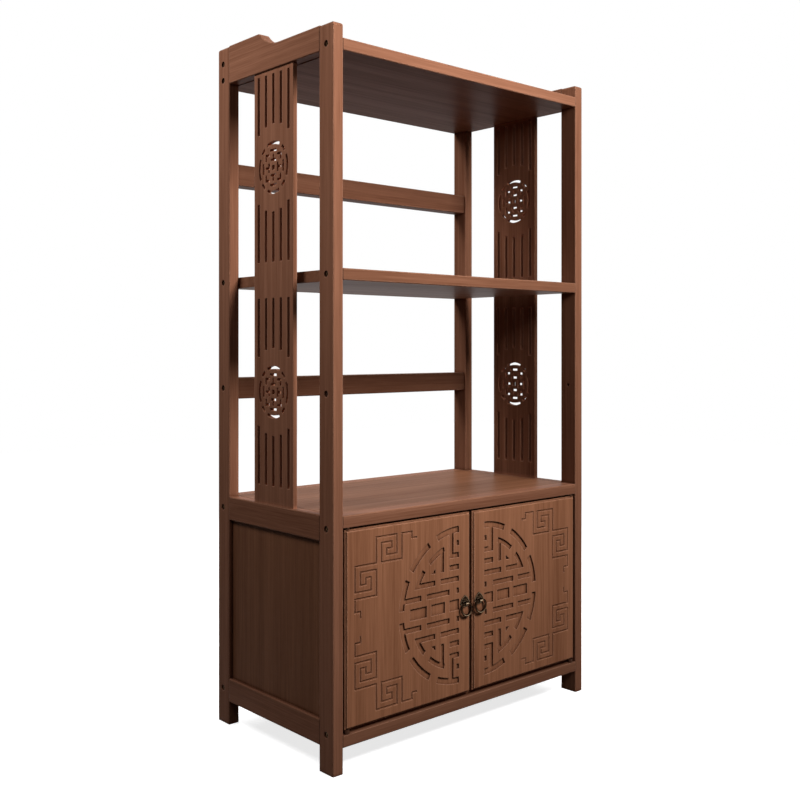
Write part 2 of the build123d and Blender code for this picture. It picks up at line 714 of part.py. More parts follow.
def fret_groove(up):
    """V groove of the key fret in the upper or lower outer corner of the left door."""
    middle_x = DOOR_HINGE_X + FRET_SIDE_MARGIN + FRET_ARM * FRET_PITCH_ACROSS
    rise = DOOR_TOP - DOOR_MIDDLE - FRET_TOP_MARGIN - FRET_ARM * FRET_PITCH_UP
    corners = [
        (middle_x - s * FRET_PITCH_ACROSS, 0, DOOR_MIDDLE + up * (rise + t * FRET_PITCH_UP))
        for s, t in fret_points()
    ]
    path = Polyline(*corners)
    start = Plane(corners[0], x_dir=(0, 1, 0), z_dir=path % 0)
    wide = FRET_GROOVE_W / 2
    section = start * Polygon((0, -wide), (0, wide), (FRET_GROOVE_DEPTH, 0), align=None)
    return sweep(section, path, transition=Transition.RIGHT)


def front_eased(shape):
    """Takes off the sharp edges round the front of a part of a door."""
    return chamfer(shape.faces().sort_by(Axis.Y)[0].edges(), DOOR_EDGE_EASE)


def left_door_board():
    """Door board with a step round its front and its carving."""
    step = DOOR_STEP_W
    field = block(DOOR_HINGE_X + step, DOOR_FREE_X - step, 0, DOOR_T, DOOR_BOTTOM + step, DOOR_TOP - step)
    rim = block(DOOR_HINGE_X, DOOR_FREE_X, DOOR_STEP_DEPTH, DOOR_T, DOOR_BOTTOM, DOOR_TOP)
    heel = rim.edges().filter_by(Axis.Z).sort_by_distance((DOOR_HINGE_X, DOOR_T, DOOR_MIDDLE))[0]
    body = front_eased(fillet(heel, DOOR_HEEL_R)) + front_eased(field)
    flat_side = (DOOR_FREE_X - ROUNDEL_MARGIN, 0, DOOR_MIDDLE)
    face = Plane(flat_side, x_dir=(-1, 0, 0), z_dir=(0, 1, 0))
    body -= extrude(face * (Sketch() + roundel_half()), CARVE_DEPTH)
    for up in (1, -1):
        body -= fret_groove(up)
    pin_d = PIVOT_PIN_D + 2 * PIVOT_FIT
    body -= bar_z(PIVOT_X, PIVOT_Y, DOOR_TOP - PIVOT_PIN_IN_DOOR, DOOR_TOP, pin_d)
    body -= bar_z(PIVOT_X, PIVOT_Y, DOOR_BOTTOM, DOOR_BOTTOM + PIVOT_PIN_IN_DOOR, pin_d)
    screw_d = SCREW_D + 2 * SCREW_CLEARANCE
    body -= bar_y(STRIKE_X, DOOR_T - SCREW_LENGTH, DOOR_T, STRIKE_Z, screw_d)
    for x, z in pull_screw_places():
        body -= bar_y(x, 0, SCREW_LENGTH, z, screw_d)
    return body


def left_pivot_pins():
    upper = rod_z(PIVOT_X, PIVOT_Y, DOOR_TOP - PIVOT_PIN_IN_DOOR, DOOR_HEAD + PIVOT_PIN_IN_RAIL, PIVOT_PIN_D)
    lower = rod_z(
        PIVOT_X, PIVOT_Y, DOOR_SILL - PIVOT_PIN_IN_RAIL, DOOR_BOTTOM + PIVOT_PIN_IN_DOOR, PIVOT_PIN_D
    )
    return Part() + [upper, lower]


def bush(face_z, to_door, gap):
    """Flanged bush in a rail that a door's pivot pin turns in."""
    spigot_end = face_z - to_door * BUSH_SPIGOT
    flange_end = face_z + to_door * (gap - BUSH_END_CLEARANCE)
    spigot_ends = sorted([face_z, spigot_end])
    spigot = bar_z(PIVOT_X, PIVOT_Y, spigot_ends[0], spigot_ends[1], BUSH_D, HEAD_SIDES)
    flange_ends = sorted([face_z, flange_end])
    flange = bar_z(PIVOT_X, PIVOT_Y, flange_ends[0], flange_ends[1], BUSH_FLANGE_D, HEAD_SIDES)
    ends = sorted([spigot_end, flange_end])
    bore_d = PIVOT_PIN_D + 2 * PIVOT_FIT
    return spigot + flange - bar_z(PIVOT_X, PIVOT_Y, ends[0], ends[1], bore_d, BORE_SIDES)


# Magnetic catch
def catch_screw_places():
    return [STRIKE_X, -STRIKE_X]


def magnet(x):
    return block(
        x - MAGNET_W / 2,
        x + MAGNET_W / 2,
        CATCH_Y,
        CATCH_Y + MAGNET_D,
        STRIKE_Z - MAGNET_H / 2,
        STRIKE_Z + MAGNET_H / 2,
    )


def magnetic_catch():
    body = block(-CATCH_W / 2, CATCH_W / 2, CATCH_Y, CATCH_Y + CATCH_D, CATCH_BOTTOM, CABINET_RAIL_BOTTOM)
    body = eased(body, Axis.Z)
    for x in catch_screw_places():
        body -= magnet(x)
        body -= bar_z(x, CATCH_SCREW_Y, CATCH_BOTTOM, CABINET_RAIL_BOTTOM, SCREW_D + 2 * SCREW_CLEARANCE)
    return body


def catch_screw(x):
    head = bar_z(x, CATCH_SCREW_Y, CATCH_BOTTOM - SCREW_HEAD_T, CATCH_BOTTOM, SCREW_HEAD_D, HEAD_SIDES)
    return head + bar_z(x, CATCH_SCREW_Y, CATCH_BOTTOM, CABINET_RAIL_BOTTOM + SCREW_LENGTH, SCREW_D)


def strike_plate():
    """Steel plate on the back of the left door with a sunk screw hole."""
    half_w = STRIKE_W / 2
    half_h = STRIKE_H / 2
    back = DOOR_T + STRIKE_T
    body = block(STRIKE_X - half_w, STRIKE_X + half_w, DOOR_T, back, STRIKE_Z - half_h, STRIKE_Z + half_h)
    body -= bar_y(STRIKE_X, DOOR_T, back, STRIKE_Z, SCREW_D + 2 * SCREW_CLEARANCE)
    head_d = SCREW_HEAD_D + 2 * SCREW_CLEARANCE
    return body - bar_y(STRIKE_X, back - SCREW_HEAD_T, back, STRIKE_Z, head_d, HEAD_SIDES)


def strike_screw():
    back = DOOR_T + STRIKE_T
    head = bar_y(STRIKE_X, back - SCREW_HEAD_T, back, STRIKE_Z, SCREW_HEAD_D, HEAD_SIDES)
    return head + bar_y(STRIKE_X, DOOR_T - SCREW_LENGTH, back - SCREW_HEAD_T, STRIKE_Z, SCREW_D)


# Ring pulls
def pull_screw_places():
    return [(-PULL_OFFSET, PULL_Z + PULL_SCREW_UP), (-PULL_OFFSET, PULL_Z - PULL_SCREW_DOWN)]


def pull_plate():
    """Leaf-shaped back plate with the knuckle that the ring hangs from."""
    right = ThreePointArc((0, PLATE_TOP), (PLATE_SHOULDER, PLATE_SHOULDER_RISE), (PLATE_HALF_W, 0))
    foot = ThreePointArc((PLATE_HALF_W, 0), (0, -PLATE_FOOT), (-PLATE_HALF_W, 0))
    left = ThreePointArc((-PLATE_HALF_W, 0), (-PLATE_SHOULDER, PLATE_SHOULDER_RISE), (0, PLATE_TOP))
    leaf = make_face(Curve() + [right, foot, left])
    front = Plane((-PULL_OFFSET, 0, PULL_Z), x_dir=(1, 0, 0), z_dir=(0, -1, 0))
    body = extrude(front * leaf, PLATE_T)
    x0 = -PULL_OFFSET - KNUCKLE_L / 2
    x1 = -PULL_OFFSET + KNUCKLE_L / 2
    body += bar_x(x0, x1, KNUCKLE_Y, PULL_Z, KNUCKLE_D, BORE_SIDES)
    body += block(x0, x1, KNUCKLE_Y, -PLATE_T, PULL_Z - KNUCKLE_D / 2, PULL_Z + KNUCKLE_D / 2)
    body -= bar_x(x0, x1, KNUCKLE_Y, PULL_Z, RING_PIN_D + 2 * RING_PIN_FIT, BORE_SIDES)
    for x, z in pull_screw_places():
        body -= bar_y(x, -PLATE_T, 0, z, SCREW_D + 2 * SCREW_CLEARANCE)
    return body


def pull_screws():
    screws = Part()
    for x, z in pull_screw_places():
        shank = bar_y(x, -PLATE_T, SCREW_LENGTH, z, SCREW_D)
        head = bar_y(x, -PLATE_T - PULL_SCREW_HEAD_T, -PLATE_T, z, PULL_SCREW_HEAD_D, HEAD_SIDES)
        crown = head.faces().sort_by(Axis.Y)[0].edges()
        screws += [shank + chamfer(crown, PULL_SCREW_CROWN)]
    return screws


def pull_ring():
    """Wire ring, bent in short straight lengths, whose turned-in ends hinge in the knuckle."""
    end_x = sqrt(RING_R**2 - RING_DROP**2)
    open_half = acos(RING_DROP / RING_R)
    bend = 2 * (pi - open_half) / RING_BENDS
    turns = [open_half + bend * step for step in range(RING_BENDS + 1)]
    path = Polyline(*[(RING_R * sin(turn), RING_R * cos(turn)) for turn in turns])
    outline = RegularPolygon(RING_WIRE_D / 2, RING_WIRE_SIDES, major_radius=False)
    start = Plane(path @ 0, x_dir=(0, 0, 1), z_dir=path % 0)
    wire = sweep(start * outline, path, transition=Transition.RIGHT)
    pin_end = KNUCKLE_L / 2 - RING_PIN_IN
    pin_root = end_x + RING_PIN_D / 2
    for side in (-1, 1):
        ends = sorted([side * pin_end, side * pin_root])
        wire += rod_x(ends[0], ends[1], RING_DROP, 0, RING_PIN_D)
    hang = Plane((-PULL_OFFSET, KNUCKLE_Y, PULL_Z - RING_DROP), x_dir=(1, 0, 0), z_dir=(0, -1, 0))
    return hang * wire


# All pieces by name
def pieces():
    made = {}
    twins = {
        "post_front": front_post(),
        "post_back": back_post(),
        "top_side_rail": top_side_rail(),
        "cabinet_side_rail_upper": upper_cabinet_side_rail(),
        "cabinet_side_rail_lower": lower_cabinet_side_rail(),
        "side_panel": side_panel(),
        "splat": splat(),
        "bolts": Part() + [bolt(y, z) for y, z in bolt_places()],
        "inserts": Part() + [insert(y, z) for y, z in bolt_places()],
        "door": left_door_board(),
        "pivot_pins": left_pivot_pins(),
        "strike_plate": strike_plate(),
        "strike_screw": strike_screw(),
        "pull_plate": pull_plate(),
        "pull_screws": pull_screws(),
    }
    for name, shape in twins.items():
        made[name + "_left"] = shape
        made[name + "_right"] = flipped(shape)
    made["pull_ring_left"] = pull_ring()
    made["pull_ring_right"] = Pos(2 * PULL_OFFSET, 0, 0) * pull_ring()
    made["top_board"] = shelf_board(TOP_BOARD_TOP)
    made["middle_shelf"] = shelf_board(MIDDLE_SHELF_TOP)
    made["cabinet_top_front_rail"] = cabinet_top_front_rail()
    low = CABINET_RAIL_BOTTOM
    made["cabinet_top_back_rail"] = cabinet_back_rail(low, CABINET_TOP, low, low + GROOVE_DEPTH)
    made["cabinet_top_panel"] = floor_panel(CABINET_TOP)
    made["cabinet_bottom_front_rail"] = cabinet_bottom_front_rail()
    top = CABINET_FLOOR
    made["cabinet_bottom_back_rail"] = cabinet_back_rail(FOOT_HEIGHT, top, top - GROOVE_DEPTH, top)
    made["cabinet_bottom_panel"] = floor_panel(CABINET_FLOOR)
    made["top_guard_rail"] = top_guard_rail()
    made["upper_back_rail"] = upper_back_rail()
    made["lower_back_rail"] = lower_back_rail()
    made["cabinet_back_panel"] = cabinet_back_panel()
    made["spare_hole_plugs"] = both_ends(Part() + [plug(FRONT_BOLT_Y, z) for z in SPARE_HOLE_HEIGHTS])
    made["upper_pivot_bushes"] = both_ends(bush(DOOR_HEAD, -1, DOOR_TOP_GAP))
    made["lower_pivot_bushes"] = both_ends(bush(DOOR_SILL, 1, DOOR_BOTTOM_GAP))
    made["magnetic_catch"] = magnetic_catch()
    made["catch_magnets"] = Part() + [magnet(x) for x in catch_screw_places()]
    made["catch_screws"] = Part() + [catch_screw(x) for x in catch_screw_places()]
    return made


# The origin is on the floor under the middle of the whole rack, pulls included
os.makedirs("parts", exist_ok=True)
to_origin = Pos(0, (PULL_REACH - DEPTH) / 2, 0)
for name, shape in pieces().items():
    export_step(to_origin * shape, f"parts/{name}.step")
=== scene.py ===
# %% [markdown]
# # A kitchen storage rack in stained bamboo
# The rack is a tall open stand of stained bamboo: four posts with shelves between them, pierced
# splats at the sides and a low cabinet with two carved doors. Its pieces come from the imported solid
# model, which is loaded first and never moved. Everything below adds the looks: camera, light,
# finishes, and the small castings and bolts whose soft shapes are easier to work out as surfaces
# than as solids.

# %% Load the frame
import json
from math import pi, radians

import bmesh
import bpy
import numpy as np
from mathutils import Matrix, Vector


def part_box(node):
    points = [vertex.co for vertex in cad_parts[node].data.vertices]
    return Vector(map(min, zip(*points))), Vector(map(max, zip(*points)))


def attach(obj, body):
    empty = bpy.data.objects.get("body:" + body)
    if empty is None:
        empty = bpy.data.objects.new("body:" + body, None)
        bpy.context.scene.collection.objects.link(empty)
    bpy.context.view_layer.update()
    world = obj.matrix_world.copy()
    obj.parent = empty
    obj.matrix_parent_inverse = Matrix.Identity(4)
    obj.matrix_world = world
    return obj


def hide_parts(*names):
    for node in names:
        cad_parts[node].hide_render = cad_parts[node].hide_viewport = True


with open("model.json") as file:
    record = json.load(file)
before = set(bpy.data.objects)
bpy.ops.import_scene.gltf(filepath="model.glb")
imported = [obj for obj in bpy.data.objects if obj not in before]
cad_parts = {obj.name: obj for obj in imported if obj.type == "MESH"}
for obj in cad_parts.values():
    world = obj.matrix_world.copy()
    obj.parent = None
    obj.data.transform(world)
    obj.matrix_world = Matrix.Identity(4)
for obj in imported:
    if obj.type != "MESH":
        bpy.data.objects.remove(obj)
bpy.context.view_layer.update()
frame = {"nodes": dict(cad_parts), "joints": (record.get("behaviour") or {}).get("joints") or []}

scene = bpy.context.scene
MM = 0.001

# %% [markdown]
# ## Camera
# The photograph was taken from the front left, a little above half the rack's height, with upright
# lines kept upright. A camera could be tilted until the rack fits, but then the posts would lean.
# A level camera with a shifted lens keeps them upright, so the shift alone frames the rack. The
# camera's place is measured from the front left post.

# %% Camera
CAMERA_LEFT = 1.1117
CAMERA_AHEAD = 1.4971
CAMERA_HEIGHT = 0.7774
CAMERA_TURN = -0.7493
LENS_MM = 46.15
SENSOR_MM = 36.0
LENS_SHIFT = (-0.05875, -0.0654)

post_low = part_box("post_front_left")[0]
lens = bpy.data.cameras.new("view_camera")
lens.lens = LENS_MM
lens.sensor_width = SENSOR_MM
lens.shift_x, lens.shift_y = LENS_SHIFT
camera = bpy.data.objects.new("view_camera", lens)
camera.location = (post_low.x - CAMERA_LEFT, post_low.y - CAMERA_AHEAD, CAMERA_HEIGHT)
camera.rotation_euler = (radians(90), 0, CAMERA_TURN)
scene.collection.objects.link(camera)
scene.camera = camera
scene.view_settings.view_transform = "Standard"
print("camera at", [round(v, 3) for v in camera.location])

# %% [markdown]
# ## Helpers for surfaces
# Every new piece is a grid of points worked out with numpy. It could be modelled by hand, but a
# formula gives a casting its even curves, and one number changes it everywhere. The first helper
# numbers the corners of the grid's quads. The second puts points and quads into a mesh and closes
# the poles, where a row of points shrinks to a single point.

# %% Surface helpers
MERGE_WITHIN = 1e-7
FLAT_WITHIN = 1e-8


def grid_quads(rows, cols, wrap_rows=False, wrap_cols=False):
    """Corner numbers of a grid's quads. A wrapped direction joins its last line to its first."""
    row = np.arange(rows if wrap_rows else rows - 1)
    col = np.arange(cols if wrap_cols else cols - 1)
    r0, c0 = np.meshgrid(row, col, indexing="ij")
    r1, c1 = (r0 + 1) % rows, (c0 + 1) % cols
    corners = [r0 * cols + c0, r0 * cols + c1, r1 * cols + c1, r1 * cols + c0]
    return np.stack(corners, axis=-1).reshape(-1, 4)


def make_piece(name, points, quads, smooth_angle=40):
    """Mesh object from points in metres and quads, with poles closed and faces turned outwards."""
    mesh = bpy.data.meshes.new(name)
    mesh.from_pydata(points.tolist(), [], quads.tolist())
    work = bmesh.new()
    work.from_mesh(mesh)
    bmesh.ops.remove_doubles(work, verts=work.verts, dist=MERGE_WITHIN)
    bmesh.ops.dissolve_degenerate(work, edges=work.edges, dist=FLAT_WITHIN)
    bmesh.ops.recalc_face_normals(work, faces=work.faces)
    work.to_mesh(mesh)
    work.free()
    mesh.polygons.foreach_set("use_smooth", np.ones(len(mesh.polygons), dtype=bool))
    mesh.set_sharp_from_angle(angle=radians(smooth_angle))
    piece = bpy.data.objects.new(name, mesh)
    scene.collection.objects.link(piece)
    print(name, "has", len(mesh.polygons), "faces")
    return piece


print("a grid of 3 by 4 points has", len(grid_quads(3, 4)), "quads")

# %% [markdown]
# ## Lamps
# A product picture is lit by large soft lamps. One big lamp at the camera would be simpler, but it
# would flatten the carving. So a high front lamp grazes the doors, and others light the sides and
# the back. A large lamp mirrored in a lacquered shelf would bleach it. The large ones are therefore
# hidden from gloss, and a small one gives the metal its glints.

# %% Lamps
# Place and aim in metres, side of the square in metres, spread in degrees, power in watts.
LAMPS = {
    "front_lamp": ((0.2, -1.75, 1.93), (-0.12, -0.19, 1.15), 0.7, 94, 21.4),
    "high_left_lamp": ((-1.45, 0.7, 2.2), (-0.35, 0.05, 1.35), 0.7, 95, 9.5),
    "right_lamp": ((2.2, 0.5, 1.7), (0.35, 0.0, 0.8), 1.0, 120, 15),
    "back_lamp": ((0.7, 2.5, 1.9), (0.0, 0.2, 0.75), 1.2, 130, 26),
    "glint_lamp": ((-1.0, -1.6, 1.5), (0.0, -0.2, 0.26), 0.12, 150, 2.0),
}


def soft_lamp(name, place, aim, size, spread, power, mirrored=False):
    """A square lamp at a place, facing its aim, whose light keeps within a spread of degrees."""
    lamp = bpy.data.lights.new(name, "AREA")
    lamp.shape = "SQUARE"
    lamp.size = size
    lamp.spread = radians(spread)
    lamp.energy = power
    holder = bpy.data.objects.new(name, lamp)
    holder.location = place
    direction = Vector(aim) - Vector(place)
    holder.rotation_euler = direction.to_track_quat("-Z", "Y").to_euler()
    holder.visible_glossy = mirrored
    scene.collection.objects.link(holder)


for name, values in LAMPS.items():
    soft_lamp(name, *values, mirrored=name == "glint_lamp")
print("lamps:", sorted(LAMPS))

# %% [markdown]
# ## Background
# Behind the rack there is only white. A white room would throw so much light on the wood that its
# stain would look washed out. The surround is therefore white only to the eye and to gloss, told
# apart by a Light Path node, and the little light that it gives is a number of its own.

# %% Shader helpers
def node(tree, kind, **settings):
    """A shader node with its settings, such as an operation or a blend type."""
    made = tree.nodes.new(kind)
    for key, value in settings.items():
        setattr(made, key, value)
    return made


def feed(tree, socket, value):
    """Gives a socket a number or colour, or links it to the output of another node."""
    if isinstance(value, (int, float, tuple)):
        socket.default_value = value
    else:
        tree.links.new(value, socket)


def sums(tree, operation, *values, clamp=False):
    """A Math node whose inputs are numbers or the outputs of other nodes. Gives its output."""
    made = node(tree, "ShaderNodeMath", operation=operation, use_clamp=clamp)
    for socket, value in zip(made.inputs, values):
        feed(tree, socket, value)
    return made.outputs[0]


def seen_directly(tree):
    """1 for rays from the camera, and for gloss and clear glass that show what lies behind."""
    path = node(tree, "ShaderNodeLightPath").outputs
    gloss = sums(tree, "MAXIMUM", path["Is Glossy Ray"], path["Is Transmission Ray"])
    return sums(tree, "MAXIMUM", path["Is Camera Ray"], gloss)


def either_shader(tree, lights, shows):
    """Mix of two shaders: one is what lights the rack, the other what is seen directly."""
    pick = node(tree, "ShaderNodeMixShader")
    tree.links.new(seen_directly(tree), pick.inputs["Fac"])
    tree.links.new(lights.outputs[0], pick.inputs[1])
    tree.links.new(shows.outputs[0], pick.inputs[2])
    return pick


print("shader helpers: node, feed, sums, seen_directly, either_shader")

# %% Background
AMBIENT = 0.04
WHITE = (1, 1, 1, 1)

world = bpy.data.worlds.new("white_surround")
world.use_nodes = True
scene.world = world
sky = world.node_tree
sky.nodes.clear()
white = node(sky, "ShaderNodeBackground")
white.inputs["Color"].default_value = WHITE
white.inputs["Strength"].default_value = 1.0
fill = node(sky, "ShaderNodeBackground")
fill.inputs["Color"].default_value = WHITE
fill.inputs["Strength"].default_value = AMBIENT
out = node(sky, "ShaderNodeOutputWorld")
sky.links.new(either_shader(sky, fill, white).outputs[0], out.inputs["Surface"])
print("surround: white to the eye, strength", AMBIENT, "as light")

# %% [markdown]
# ## Floor
# The rack stands on a plain sheet of white paper that takes its soft shadow. Stronger lamps would
# whiten the paper, but would overlight the wood. So the paper glows a little by itself, more the
# farther it is, because lamplight fades with distance, and no horizon shows. As light on the wood
# the paper is nearly black, which keeps the rack's lower parts as dark as they should be.

# %% Floor
FLOOR_HALF = 6.0
FLOOR_LINES = 9
PAPER_SHADE = (0.8, 0.8, 0.8, 1)
FLOOR_BOUNCE = (0.04, 0.033, 0.03, 1)
GLOW_BY_DISTANCE = {"From Min": 0.7, "From Max": 2.4, "To Min": 0.78, "To Max": 1.0}

side = np.linspace(-FLOOR_HALF, FLOOR_HALF, FLOOR_LINES)
across, along = np.meshgrid(side, side, indexing="ij")
floor_points = np.stack([across, along, 0 * across], axis=-1).reshape(-1, 3)
floor = make_piece("floor", floor_points, grid_quads(FLOOR_LINES, FLOOR_LINES))

paper = bpy.data.materials.new("white_paper")
paper.use_nodes = True
tree = paper.node_tree
tree.nodes.clear()
where = node(tree, "ShaderNodeTexCoord")
apart = node(tree, "ShaderNodeVectorMath", operation="LENGTH")
tree.links.new(where.outputs["Object"], apart.inputs[0])
rise = node(tree, "ShaderNodeMapRange", interpolation_type="SMOOTHSTEP")
for label, value in GLOW_BY_DISTANCE.items():
    rise.inputs[label].default_value = value
tree.links.new(apart.outputs["Value"], rise.inputs["Value"])
glow = node(tree, "ShaderNodeEmission")
tree.links.new(rise.outputs["Result"], glow.inputs["Strength"])
shaded = node(tree, "ShaderNodeBsdfDiffuse")
shaded.inputs["Color"].default_value = PAPER_SHADE
lit = node(tree, "ShaderNodeAddShader")
tree.links.new(shaded.outputs[0], lit.inputs[0])
tree.links.new(glow.outputs[0], lit.inputs[1])
dull = node(tree, "ShaderNodeBsdfDiffuse")
dull.inputs["Color"].default_value = FLOOR_BOUNCE
out = node(tree, "ShaderNodeOutputMaterial")
tree.links.new(either_shader(tree, dull, lit).outputs[0], out.inputs["Surface"])
floor.data.materials.append(paper)
print("floor is", 2 * FLOOR_HALF, "m wide")

# %% [markdown]
# ## Ring pulls
# Each door has a small cast pull: a leaf-shaped plate with a raised rim and petals, a knuckle across
# it, and a heavy ring whose thin ends turn in the knuckle. All of it is worked out in millimetres
# about the knuckle's axis, which the joint of the frame gives, so the ring swings on that axis. H is
# the height in front of the door, and turns into -Y when a piece is put in its place.

# %% Places of the pulls
BOTH = ("left", "right")
joint_of = {joint["name"]: joint for joint in frame["joints"]}


def pull_place(end):
    """Point of the door's front that lies behind the middle of the knuckle's axis, in metres."""
    axis = joint_of[f"{end}_ring_swing"]["pos_m"]
    return np.array([axis[0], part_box(f"door_{end}")[0].y, axis[2]])


def set_in(points, place):
    """Points (across, H, up) in millimetres moved to a place on a door, in metres."""
    return place + MM * points * np.array([1.0, -1.0, 1.0])


KNUCKLE_H = (pull_place("left")[1] - joint_of["left_ring_swing"]["pos_m"][1]) / MM
print("knuckle axis is", round(KNUCKLE_H, 2), "mm in front of the door")

# %% [markdown]
# ### Ring
# The ring is one wire. A torus with two pins stuck on would show a seam, and where pin and circle
# meet the real wire is bent, not cut. The path is therefore laid out with sharp corners, a pin, most
# of a circle and the other pin, and spaced evenly. Then each point takes the mean of its neighbours,
# which rounds the bends. The wire swells from thin pins to its full thickness at the bottom.

# %% Path of the ring
RING_R = 13.7
RING_DROP = 10.9
PIN_START = 2.0
CIRCLE_STEPS = 400
PATH_STEPS = 240
BEND_REACH = 9


def ring_path():
    """Evenly spaced points (across, up): pin, circle of radius R about (0, -drop), pin.

    Each point is then the mean of its neighbours, weighted by a raised cosine. Both ends are first
    carried on in a straight line, so that the pins keep their length.
    """
    start = np.arccos(RING_DROP / RING_R)
    turn = np.linspace(start, 2 * pi - start, CIRCLE_STEPS)
    circle = np.stack([RING_R * np.sin(turn), RING_R * np.cos(turn) - RING_DROP], axis=-1)
    sharp = np.concatenate([[[PIN_START, 0]], circle, [[-PIN_START, 0]]])
    run = np.concatenate([[0], np.cumsum(np.linalg.norm(np.diff(sharp, axis=0), axis=1))])
    even = np.linspace(0, run[-1], PATH_STEPS)
    spaced = np.stack([np.interp(even, run, sharp[:, k]) for k in (0, 1)], axis=-1)
    ends = np.arange(BEND_REACH, 0, -1)[:, None]
    before = spaced[0] - ends * (spaced[1] - spaced[0])
    after = spaced[-1] + ends[::-1] * (spaced[-1] - spaced[-2])
    padded = np.concatenate([before, spaced, after])
    weight = np.hanning(2 * BEND_REACH + 3)[1:-1]
    weight = weight / weight.sum()
    return np.stack([np.convolve(padded[:, k], weight, mode="valid") for k in (0, 1)], axis=-1)


path = ring_path()
print("ring path has", len(path), "points and hangs to", round(path[:, 1].min(), 2), "mm")

# %% Wire of the ring
PIN_R = 1.15
WIRE_R = 2.25
WIRE_SWELL = 0.25
SWELL_START = 0.075
SWELL_RUN = 0.075


def wire_along(path, radius, sides=24):
    """Tube round a flat path: circles of given radii across it, closed to a point at its ends."""
    along = np.gradient(path, axis=0)
    along = along / np.linalg.norm(along, axis=1, keepdims=True)
    out = np.stack([-along[:, 1], along[:, 0]], axis=-1)
    rows = np.concatenate([[0], np.arange(len(path)), [len(path) - 1]])
    size = np.concatenate([[0], radius, [0]])[:, None]
    angle = np.linspace(0, 2 * pi, sides, endpoint=False)
    across = path[rows, 0, None] + out[rows, 0, None] * size * np.cos(angle)
    up = path[rows, 1, None] + out[rows, 1, None] * size * np.cos(angle)
    front = KNUCKLE_H + size * np.sin(angle)
    points = np.stack([across, front, up], axis=-1)
    return points.reshape(-1, 3), grid_quads(len(rows), sides, wrap_cols=True)


share = np.linspace(0, 1, PATH_STEPS)
from_end = np.minimum(share, 1 - share)
grow = np.clip((from_end - SWELL_START) / SWELL_RUN, 0, 1)
grow = grow * grow * (3 - 2 * grow)
wire_r = PIN_R + grow * (WIRE_R - PIN_R + WIRE_SWELL * np.sin(pi * share) ** 4)
ring_points, ring_quads = wire_along(path, wire_r)
rings = {}
for end in BOTH:
    points = set_in(ring_points, pull_place(end))
    rings[end] = make_piece(f"ring_of_pull_{end}", points, ring_quads)
    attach(rings[end], f"{end}_ring")
    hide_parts(f"pull_ring_{end}")

# %% [markdown]
# ### Leaf plate
# The plate is a thin casting in the shape of a leaf, with petals fanned out behind the knuckle. A
# flat sheet with a bump would look printed from the side, so the relief is real. The plate is a grid
# of rays and steps: every ray runs from the middle of the leaf to its outline, and every step along
# it has a height. The heights give a back that lies on the door, an upright edge, a rounded rim, and
# a sunk field with petals. The outline is three arcs, each through three points.

# %% Outline of the leaf
LEAF_TOP = (0.0, 15.5)
LEAF_SHOULDER = (8.0, 9.4)
LEAF_SIDE = (13.0, 0.0)
LEAF_FOOT = (0.0, -8.5)


def arc_through(first, second, third, count):
    """Points on the circle through three points, whose centre is where two bisectors meet."""
    a, b, c = (np.array(p) for p in (first, second, third))
    system = 2 * np.array([b - a, c - a])
    centre = np.linalg.solve(system, np.array([b @ b - a @ a, c @ c - a @ a]))
    angle = np.unwrap([np.arctan2(*(p - centre)[::-1]) for p in (a, b, c)])
    sweep = np.interp(np.linspace(0, 2, count), [0, 1, 2], angle)
    round_it = np.stack([np.cos(sweep), np.sin(sweep)], axis=-1)
    return centre + np.linalg.norm(a - centre) * round_it


def leaf_outline(count=40):
    """Closed outline (across, up): a shoulder arc, the foot arc, and the shoulder mirrored."""
    left_side = (-LEAF_SIDE[0], LEAF_SIDE[1])
    shoulder = arc_through(LEAF_TOP, LEAF_SHOULDER, LEAF_SIDE, count)[:-1]
    foot = arc_through(LEAF_SIDE, LEAF_FOOT, left_side, 2 * count)[:-1]
    far = shoulder[::-1] * np.array([-1, 1])
    return np.concatenate([shoulder, foot, [left_side], far[:-1]])


outline = leaf_outline()
print("leaf outline has", len(outline), "points")

# %% Relief of the leaf
LEAF_MIDDLE = (0.0, 2.0)
# Share of the ray from the middle to the outline, and height.
RIM = np.array([
    (0.0, 0.0), (0.6, 0.0), (0.995, 0.0), (1.0, 0.15), (1.0, 0.95), (0.985, 1.35), (0.955, 1.62),
    (0.92, 1.7), (0.885, 1.6), (0.855, 1.3), (0.835, 0.98), (0.82, 0.86)])
FIELD_SHARE = 0.8
FIELD_STEPS = 18
FIELD_H = 0.86
PETALS = 9
PETAL_H = 0.85
PETAL_POWER = 1.2
HUMP_POWER = 0.7
HUMP_INNER = 0.35


def leaf_plate():
    """Rays from the middle to the outline, at shares with heights of rim and field.

    Petals stand on the field: |cos(n a / 2)| to a power over the angle a, times a hump along each
    ray, which is a half sine to a power that grows from the middle outwards.
    """
    offset = outline - np.array(LEAF_MIDDLE)
    angle = np.arctan2(offset[:, 0], offset[:, 1])
    inner = np.linspace(FIELD_SHARE, 0.0, FIELD_STEPS)
    shares = np.concatenate([RIM[:, 0], inner])
    reach = inner / FIELD_SHARE
    hump = np.sin(pi * np.clip(reach, 0, 1)) ** HUMP_POWER
    hump = hump * (HUMP_INNER + (1 - HUMP_INNER) * reach)
    petal = np.abs(np.cos(PETALS * angle / 2)) ** PETAL_POWER
    field = FIELD_H + PETAL_H * hump[:, None] * petal[None, :]
    height = np.concatenate([np.repeat(RIM[:, 1, None], len(outline), axis=1), field])
    across = LEAF_MIDDLE[0] + shares[:, None] * offset[None, :, 0]
    up = LEAF_MIDDLE[1] + shares[:, None] * offset[None, :, 1]
    points = np.stack([across, height, up], axis=-1)
    return points.reshape(-1, 3), grid_quads(len(shares), len(outline), wrap_cols=True)


leaf = leaf_plate()
print("leaf plate has", len(leaf[1]), "quads")

